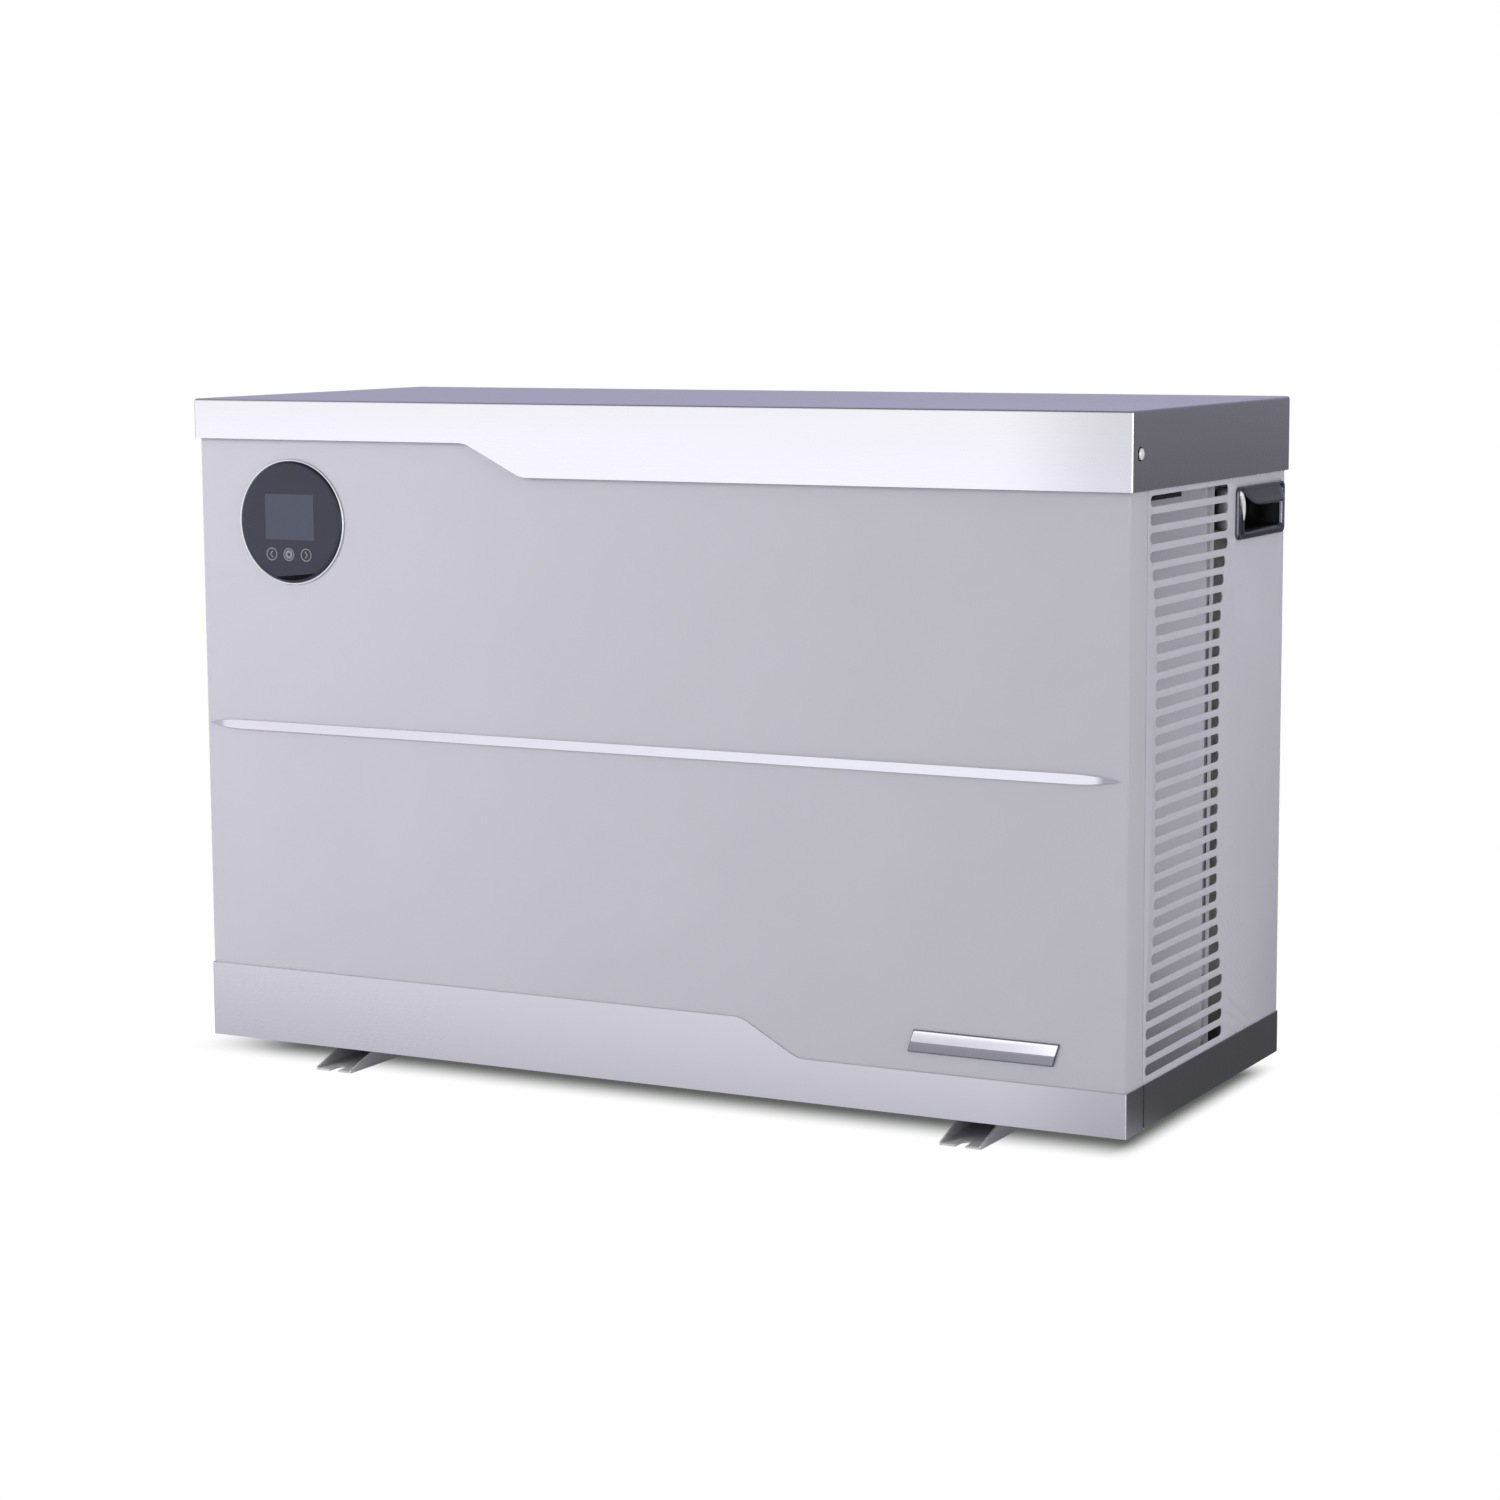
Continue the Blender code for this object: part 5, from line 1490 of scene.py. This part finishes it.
def blade_points(start, u, w):
    """Front and back point of a blade: u from root to tip, w across its width."""
    radius = BLADE_ROOT + (BLADE_TIP - BLADE_ROOT) * u
    sweep = 0.42 * u**1.4
    width = 1.15 - 0.12 * u
    angle = start + sweep + width * (w - 0.5)
    pitch = (1 - 0.42 * u) * 62
    y = 29 + pitch * (w - 0.5) + 6 * math.sin(math.pi * w) * u
    radius -= 20 * u**6 * (2 * abs(w - 0.5)) ** 3
    camber = math.sin(math.pi * min(1.0, 0.08 + w * 0.92)) ** 0.6
    thick = (0.5 + 1.5 * camber) * (1.0 - 0.35 * u)
    x, z = radius * math.cos(angle), -radius * math.sin(angle)
    return [point(fan_x + x, FAN_Y + y + shift, fan_z + z) for shift in (-thick, thick)]


def add_blade(mesh, start):
    spans, chords = BLADE_SPANS, BLADE_CHORDS
    front, back = [], []
    for i in range(spans + 1):
        front.append([])
        back.append([])
        for j in range(chords + 1):
            near, far = blade_points(start, i / spans, j / chords)
            front[-1].append(mesh.verts.new(near))
            back[-1].append(mesh.verts.new(far))
    face = mesh.faces.new
    for i in range(spans):
        for j in range(chords):
            face((front[i][j], front[i + 1][j], front[i + 1][j + 1], front[i][j + 1]))
            face((back[i][j + 1], back[i + 1][j + 1], back[i + 1][j], back[i][j]))
    for i in range(spans):
        face((front[i + 1][0], front[i][0], back[i][0], back[i + 1][0]))
        face((front[i][-1], front[i + 1][-1], back[i + 1][-1], back[i][-1]))
    for j in range(chords):
        face((front[-1][j], front[-1][j + 1], back[-1][j + 1], back[-1][j]))
        face((front[0][j + 1], front[0][j], back[0][j], back[0][j + 1]))


def propeller():
    mesh = bmesh.new()
    add_lathe(mesh, FAN_HUB, FAN, "y", 72, (2.2, 3), True)
    for index in range(BLADES):
        add_blade(mesh, 2 * math.pi * index / BLADES)
    piece("axial_fan", mesh, BLACK, body="fan", stands_for="fan_propeller", angle=40)


def nut_flats(angle, radius, y):
    return hexagon_radius(angle, 9.1) - 10.5 if radius > 10 else 0.0


def motor_ribs(angle, radius, y):
    return 1.6 if radius > 57 and 78 < y < 114 and math.cos(angle * 18) > 0 else 0.0


propeller()
lathe(
    "hub_nut", HUB_NUT, FAN, BRASS, "y", 48, closed=True, wobble=nut_flats,
    body="fan", stands_for="fan_hub_nut", angle=30,
)
lathe("motor_shaft", SHAFT, FAN, SCREW, "y", 40, (0.8, 3), body="fan", stands_for="fan_shaft")
lathe(
    "motor_shell", MOTOR, FAN, GREY, "y", 144, wobble=motor_ribs,
    stands_for="fan_motor", angle=30,
)

# ------------------------------------------------------------------ finned coil
(_, _, coil_z0), (_, _, coil_z1) = cad_box("evaporator_coil")
FIN_PITCH, FIN_THICK = 2.6, 0.3
TUBE_ROWS = 22


def coil_fins():
    """Thin upright plates along the rear, down the right side, and fanned round the corner."""
    mesh = bmesh.new()
    for i in range(int((962 - 346) / FIN_PITCH)):
        x = 346 + FIN_PITCH * i
        add_box(mesh, (x, 372.4, coil_z0), (x + FIN_THICK, 411.6, coil_z1))
    for i in range(int((386 - 270) / FIN_PITCH)):
        y = 270 + FIN_PITCH * i
        add_box(mesh, (964.4, y, coil_z0), (1003.6, y + FIN_THICK, coil_z1))
    corner_x, corner_y = 968.0, 376.0
    for i in range(9):
        a = math.radians(90 * (i + 0.5) / 9)
        c, s = math.cos(a), math.sin(a)
        for vert in bmesh.ops.create_cube(mesh, size=1.0)["verts"]:
            out = 2.0 + 32.5 * (vert.co.x + 0.5)
            across = 0.15 * 2 * vert.co.y
            z = coil_z0 + (coil_z1 - coil_z0) * (vert.co.z + 0.5)
            x, y = corner_x + out * s - across * c, corner_y + out * c + across * s
            vert.co = point(x, y, z)
    piece("coil_fins", mesh, FIN, clean=False, stands_for="evaporator_coil", angle=0)


def coil_tubes():
    mesh = bmesh.new()
    for k in range(TUBE_ROWS):
        z = coil_z0 + 14 + (coil_z1 - coil_z0 - 28) * k / (TUBE_ROWS - 1)
        for inset in (10.5, 29.0):
            x, y = 964 + inset, 372 + inset
            path = [(341, y, z), (930, y, z), (x, y, z), (x, 345, z), (x, 269.6, z)]
            add_tube(mesh, softened(path, 26, 4, 0.45), 3.6, 8)
    piece("coil_tubes", mesh, COPPER, clean=False, angle=60)


def coil_end_plates():
    mesh = bmesh.new()
    add_box(mesh, (341.4, 371.4, coil_z0), (341.4 + 1.2, 412.4, coil_z1), 0.2, 1)
    add_box(mesh, (963.6, 269.4, coil_z0), (1004.4, 270.4, coil_z1), 0.2, 1)
    piece("coil_end_plates", mesh, GALVANISED, clean=False)


coil_fins()
coil_tubes()
coil_end_plates()

# ------------------------------------------------------------------ compressor
COMPRESSOR_X, COMPRESSOR_Y = 235.0, 330.0
FOOT_ANGLES = (90, 210, 330)
# (radius, z) profiles
COMPRESSOR = [
    (0, 332), (14, 332), (30, 326), (48, 314), (57, 300), (58, 292), (58, 270), (59.3, 268),
    (59.3, 262), (58, 260), (58, 120), (59.3, 118), (59.3, 112), (58, 110), (58, 92), (60, 88),
    (60, 60), (52, 54), (0, 54),
]
MOUNT = [(0, 52.6), (8, 52.6), (12, 50), (9.5, 45), (13, 40), (13, 28.3), (0, 28.3)]
ACCUMULATOR = [
    (0, 262), (9, 261), (19, 254), (23, 244), (23, 108), (19, 98), (9, 91), (0, 90)
]


def compressor():
    lathe(
        "compressor_shell", COMPRESSOR, (COMPRESSOR_X, COMPRESSOR_Y, 0), ENAMEL, "z", 72,
        (2.0, 3), stands_for="compressor",
    )
    feet, outline = [], []
    for angle in FOOT_ANGLES:
        a = math.radians(angle)
        x, y = COMPRESSOR_X + 76 * math.cos(a), COMPRESSOR_Y + 76 * math.sin(a)
        feet.append((x, y))
        for k in range(-70, 71, 10):
            t = math.radians(angle + k)
            outline.append((x + 13 * math.cos(t), y + 13 * math.sin(t)))
    plate("compressor_base", [outline], 4.0, "flat", (0, 0, 55), ENAMEL, edge=0.6)
    low = (COMPRESSOR_X - 16, COMPRESSOR_Y - 68, 232)
    high = (COMPRESSOR_X + 16, COMPRESSOR_Y - 55, 276)
    box("compressor_terminals", low, high, BLACK, 2.0, 3)
    for i, (x, y) in enumerate(feet, 1):
        lathe(
            f"rubber_mount_{i}", MOUNT, (x, y, 0), RUBBER, "z", 40, (1.2, 4),
            stands_for=f"compressor_mount_{i}",
        )


compressor()
accumulator_x, accumulator_y, _ = cad_centre("accumulator")
lathe(
    "accumulator_can", ACCUMULATOR, (accumulator_x, accumulator_y, 0), ENAMEL, "z", 48,
    (3.0, 4), stands_for="accumulator",
)

# ------------------------------------------------------------------ valves
VALVE_X, VALVE_Y, VALVE_Z = 250, 350, 400  # middle of the reversing valve
VALVE_BODY = [(0, 58), (12, 58), (14, 56), (14, -56), (12, -58), (0, -58)]
EXPANSION = (185, 275, 0)
EXPANSION_BODY = [
    (0, 448), (6.5, 448), (6.5, 436), (10, 428), (10, 384), (6.5, 384), (6.5, 376), (0, 376)
]
EXPANSION_COIL = [(10.4, 436), (20, 436), (20, 405), (10.4, 405)]


def reversing_valve():
    """A lying cylinder with three stubs below it and one above."""
    mesh = bmesh.new()
    add_lathe(mesh, VALVE_BODY, (VALVE_X, VALVE_Y, VALVE_Z), "x", 40, (0.8, 2))
    for shift, foot, top in ((-30, 372, 390), (0, 372, 390), (30, 372, 390), (0, 410, 428)):
        stub = [(0, top), (7.5, top), (7.5, foot), (0, foot)]
        add_lathe(mesh, stub, (VALVE_X + shift, VALVE_Y, 0), "z", 24, (0.5, 2))
    piece("reversing_valve_body", mesh, BRASS, clean=False, stands_for="reversing_valve")
    box("reversing_valve_coil", (231, 363.5, 385), (269, 385, 415), BLACK, 3.0, 4)


reversing_valve()
lathe(
    "expansion_valve_body", EXPANSION_BODY, EXPANSION, BRASS, "z", 32, (0.6, 2),
    clean=False, stands_for="expansion_valve",
)
lathe("expansion_valve_coil", EXPANSION_COIL, EXPANSION, BLACK, "z", 48, (1.5, 3), True)

# ------------------------------------------------------------------ refrigerant pipes
# name: tube radius, bend radius, corners of the path
PIPES = {
    "discharge": (4.8, 11, [
        (205, 322, 333), (205, 322, 452), (250, 322, 452), (250, 350, 452), (250, 350, 428.6),
    ]),
    "suction": (5.5, 14, [
        (250, 350, 371.4), (250, 350, 341), (303, 350, 341), (303, 273.5, 341),
        (303, 273.5, 262.8),
    ]),
    "evaporator_gas": (5.2, 8, [
        (280, 350, 371.4), (280, 350, 354), (280, 402, 354), (339.4, 402, 354),
    ]),
    "exchanger_gas": (5.2, 8, [
        (132, 318, 494.6), (132, 318, 512), (176, 318, 512), (176, 318, 354),
        (176, 350, 354), (220, 350, 354), (220, 350, 371.4),
    ]),
    "liquid": (4.2, 14, [
        (92, 318, 494.6), (92, 318, 524), (92, 275, 524), (185, 275, 524), (185, 275, 448.6),
    ]),
    "distributor": (4.2, 7, [
        (185, 275, 375.4), (185, 275, 360), (362, 275, 360), (362, 371.4, 360),
    ]),
}
for name, (radius, bend, corners) in PIPES.items():
    mesh = bmesh.new()
    add_tube(mesh, bends(corners, bend), radius, 14)
    piece(f"{name}_line", mesh, COPPER, angle=60, clean=False, stands_for=f"{name}_pipe")

# ------------------------------------------------------------------ water side
TANK_X, TANK_Y = 92.0, 318.0
TANK = [
    (0, 474), (40, 474), (56, 466), (62, 452), (62, 440), (62, 438), (62, 430), (62, 428),
    (62, 262), (62, 260), (62, 252), (62, 250), (62, 88), (62, 86), (62, 78), (62, 76), (62, 66),
    (56, 50), (40, 44), (0, 44),
]
TANK_PORT = [(21, 76), (27, 76), (27, 56), (21, 56)]
HELIX_RADIUS, HELIX_TURNS, TURN_STEPS = 40, 7, 36


def titanium_helix():
    """A tube that drops down the middle, winds up round it and leaves at the top."""
    x, y = TANK_X, TANK_Y
    path = [(x, y, 494.0), (x, y, 84.0), (x + 3, y, 74.0), (x + 14, y, 67.0), (x + 30, y, 70.0)]
    steps = HELIX_TURNS * TURN_STEPS
    for i in range(steps + 1):
        a = 2 * math.pi * i / TURN_STEPS
        across, along = HELIX_RADIUS * math.cos(a), HELIX_RADIUS * math.sin(a)
        path.append((x + across, y + along, 84.0 + 346.0 * i / steps))
    path += [(x + HELIX_RADIUS, y, 445.0), (x + HELIX_RADIUS, y, 494.0)]
    mesh = bmesh.new()
    add_tube(mesh, path, 6.0, 10)
    piece("titanium_helix", mesh, TITANIUM, clean=False, angle=60, stands_for="titanium_coil")


def flow_switch():
    """A block on a short stem above the inlet."""
    low, high = inlet_z + 30.8, inlet_z + 42
    mesh = bmesh.new()
    stem = [(0, high), (7.6, high), (7.6, low), (0, low)]
    add_lathe(mesh, stem, (union_x, 410, 0), "z", 32, (0.5, 2))
    add_box(mesh, (union_x - 14, 397, inlet_z + 34), (union_x + 14, 421, inlet_z + 60), 2.0, 3)
    piece("flow_switch_body", mesh, GREY, clean=False, stands_for="flow_switch")


lathe(
    "exchanger_tank", TANK, (TANK_X, TANK_Y, 0), WHITE, "z", 80, (2.0, 3),
    stands_for="exchanger_shell",
)
for k, z in enumerate((inlet_z, outlet_z), 1):
    lathe(f"tank_port_{k}", TANK_PORT, (TANK_X, TANK_Y, z), WHITE, "y", 56, (0.8, 2), True)
titanium_helix()
flow_switch()

# ------------------------------------------------------------------ electrics
PART_Z = 551.9  # underside of the parts on the board
# x, y, width, depth, height
BOARD_PARTS = (
    (150, 350, 30, 24, 18), (190, 350, 30, 24, 18), (78, 350, 22, 22, 3), (108, 346, 12, 30, 4),
    (126, 382, 70, 10, 9), (70, 384, 40, 9, 10), (142, 276, 8, 8, 3), (142, 290, 8, 8, 3),
)


def board():
    plate(
        "board_laminate", [rounded(62, 268, 232, 402, 3, 4)], 1.6, "flat", (0, 0, 551), BOARD,
        edge=0.2, stands_for="control_board",
    )
    mesh = bmesh.new()
    for k in range(11):
        add_box(mesh, (75 + 5.4 * k, 280.5, 555.5), (76.6 + 5.4 * k, 335.5, 584), 0.3, 1)
    add_box(mesh, (74, 280, 552), (134, 336, 556), 0.3, 1)
    piece("board_heatsink", mesh, ALUMINIUM, clean=False)
    mesh = bmesh.new()
    for x in (170, 206):
        can = [(0, 590), (15, 590), (15, 552), (0, 552)]
        add_lathe(mesh, can, (x, 300, 0), "z", 40, (1.2, 3))
    piece("board_capacitors", mesh, BLUE, clean=False)
    mesh = bmesh.new()
    for x, y, width, depth, height in BOARD_PARTS:
        add_box(mesh, (x, y, PART_Z), (x + width, y + depth, PART_Z + height), 0.5, 2)
    piece("board_parts", mesh, BLACK, clean=False)


board()

# ------------------------------------------------------------------ CAD pieces kept as they are
# piece: material, width of its softened edges
KEPT = {
    "base_pan": (GALVANISED, 0.4),
    "motor_bracket": (GALVANISED, 0.4),
    "mid_partition": (GALVANISED, 0.4),
    "electrical_box": (GALVANISED, 0.4),
    "terminal_block": (BLACK, 0.4),
    "flow_paddle": (TITANIUM, 0.25),
    "gauge_needle": (RED, 0.25),
}
for name, (material, width) in KEPT.items():
    keep_shape(name, material, width, angle=35)
screws("terminal_screws", [(254 + 12.6 * k, 380, 553.2) for k in range(5)], "z", 3.0, 1.6)


# ------------------------------------------------------------------ floor
def floor_material():
    """A white sweep with a painted contact shadow to the camera, a diffuse floor to light, and a
    graded glow to mirrors that paints the floor's reflected light and shade.
    """
    material, graph = new_material(
        "m_floor", Roughness=1.0, Specular_IOR_Level=0.0, Base_Color=(0.93, 0.93, 0.93, 1)
    )
    ray = graph.add("LightPath").outputs
    place = graph.position()
    x, y = place["X"], place["Y"]
    # painted shadow: a soft contact shade under the cabinet, shown to the camera
    shade = graph.times(
        graph.fade(y, y_at(16), y_at(96)),
        graph.fade(y, y_at(484), y_at(408)),
        graph.fade(x, x_at(1042), x_at(1010)),
        graph.fade(x, x_at(-70), x_at(60)),
    )
    painted_light_tint = graph.colour(shade, (1.0, 1.0, 1.0), (0.118, 0.126, 0.118))
    seen = graph.add("Emission", {"Color": painted_light_tint})
    # painted reflection: in mirrors the floor glows bright far in front, greyer near the cabinet,
    # dark just behind it
    ahead = graph.remap(y, 0.0, 1.0, start=-0.2, stop=-4.2)
    stops = [(0.0, 0.44), (0.03, 0.64), (0.10, 0.78), (0.4, 1.05), (1.0, 1.28)]
    front_glow = graph.ramp(ahead, stops)
    behind = graph.fade(y, -0.26, 0.0, low=1.0, high=0.15)
    far_back = graph.fade(y, 0.4, 5.0, low=1.0, high=2.1)
    strength = graph.times(front_glow, behind, far_back)
    glow = graph.add("Emission", {"Color": (0.985, 0.975, 1.07, 1), "Strength": strength})
    lit = graph.mix_shader(ray["Is Glossy Ray"], graph.bsdf.outputs[0], glow.outputs[0])
    surface = graph.mix_shader(ray["Is Camera Ray"], lit, seen.outputs[0])
    graph.plug(graph.tree.nodes["Material Output"].inputs["Surface"], surface)
    return material


mesh = bmesh.new()
bmesh.ops.create_grid(mesh, x_segments=1, y_segments=1, size=40.0)
floor = to_object("floor", mesh)
floor.location = (0, 0, cad_low.z - 0.0002)
floor.data.materials.append(floor_material())


# ------------------------------------------------------------------ world
def studio_world():
    """White to the camera, soft light for diffuse rays, and a graded studio for mirrors."""
    world = bpy.data.worlds.new("studio")
    scene.world = world
    world.use_nodes = True
    world.node_tree.nodes.clear()
    graph = Graph(world.node_tree)

    def background(colour, strength):
        return graph.add("Background", {"Color": colour, "Strength": strength}).outputs[0]

    output = graph.add("OutputWorld")
    ray = graph.add("LightPath").outputs
    direction = graph.position("Generated")
    across = graph.fade(direction["X"], -0.15, 0.25)
    rear = graph.colour(across, (0.43, 0.42, 0.565), (0.20, 0.20, 0.235))
    height = graph.remap(direction["Z"], 0.0, 1.0, start=-1.0, stop=1.0)
    stops = [(0.0, 1.16), (0.53, 1.18), (0.60, 1.12), (0.72, 0.95), (0.84, 0.16), (1.0, 0.12)]
    ahead = graph.ramp(height, stops)
    studio = graph.colour(graph.fade(direction["Y"], -0.25, 0.12), ahead, rear)
    glossy = background(studio, 1.0)
    soft = background((0.98, 0.98, 1.0, 1), 0.46)
    plain = background((1, 1, 1, 1), 1.0)
    lit = graph.mix_shader(ray["Is Glossy Ray"], soft, glossy)
    surface = graph.mix_shader(ray["Is Camera Ray"], lit, plain)
    graph.plug(output.inputs["Surface"], surface)


studio_world()


# ------------------------------------------------------------------ lights, in metres and watts
def softbox(name, position, target, size, power, colour=(1, 1, 1), glossy=False):
    data = bpy.data.lights.new(name, "AREA")
    data.shape = "RECTANGLE"
    data.size, data.size_y = size
    data.energy = power
    data.color = colour
    obj = link_object(name, data)
    obj.location = position
    obj.rotation_mode = "QUATERNION"
    aim = Vector(target) - Vector(position)
    obj.rotation_quaternion = aim.to_track_quat("-Z", "Y")
    obj.visible_camera = False
    obj.visible_glossy = glossy
    return obj


softbox("key_left", (-1.65, -2.0, 1.4), target=(-0.2, 0, 0.35), size=(1.5, 1.5), power=44)
softbox("top_soft", (0.3, 0.2, 3.4), target=(0, 0, 0.2), size=(3.4, 2.6), power=40)
softbox("right_fill", (2.9, -0.3, 1.2), target=(0.4, 0, 0.3), size=(1.6, 1.6), power=26)
# a tall strip that only shows as the bright line along the front right folds
strip = softbox(
    "corner_strip", (1.95, -1.15, 0.5), target=(0.525, -0.2375, 0.35), size=(0.5, 1.3),
    power=6, glossy=True,
)
strip.visible_diffuse = False
# light inside the discharge chamber, from each end
for x, power in ((x_at(1000), 0.22), (x_at(50), 0.05)):
    softbox(
        f"chamber_{x > 0:d}", (x, y_at(100), 0.36), target=(x, y_at(240), 0.36),
        size=(0.07, 0.52), power=power, colour=(0.97, 0.965, 1.0),
    )
# light behind the deck, beside the coil
gap = softbox(
    "coil_gap", (x_at(1033), y_at(292), 0.36), target=(x_at(1004), y_at(360), 0.36),
    size=(0.014, 0.58), power=0.052, glossy=True,
)
gap.data.spread = math.radians(60)

# ------------------------------------------------------------------ camera
CAMERA_PLACE = (2210.2, -2943.9, 819.1)
# rotation vector from the world to the camera's right, down and forward axes
CAMERA_TURN = Vector((1.66891633, 0.408773196, -0.365351541))
camera_data = bpy.data.cameras.new("camera")
camera = link_object("camera", camera_data)
scene.camera = camera
camera_data.sensor_width = 36.0
camera_data.lens = 83.14
camera_data.clip_end = 200
rows = Matrix.Rotation(CAMERA_TURN.length, 3, CAMERA_TURN.normalized())
right_axis, down_axis, forward_axis = (Vector(rows[i]) for i in range(3))
axes = Matrix((right_axis, -down_axis, -forward_axis)).transposed().to_4x4()
camera.matrix_world = Matrix.Translation(point(*CAMERA_PLACE)) @ axes
scene.view_settings.view_transform = "Standard"
scene.view_settings.look = "None"
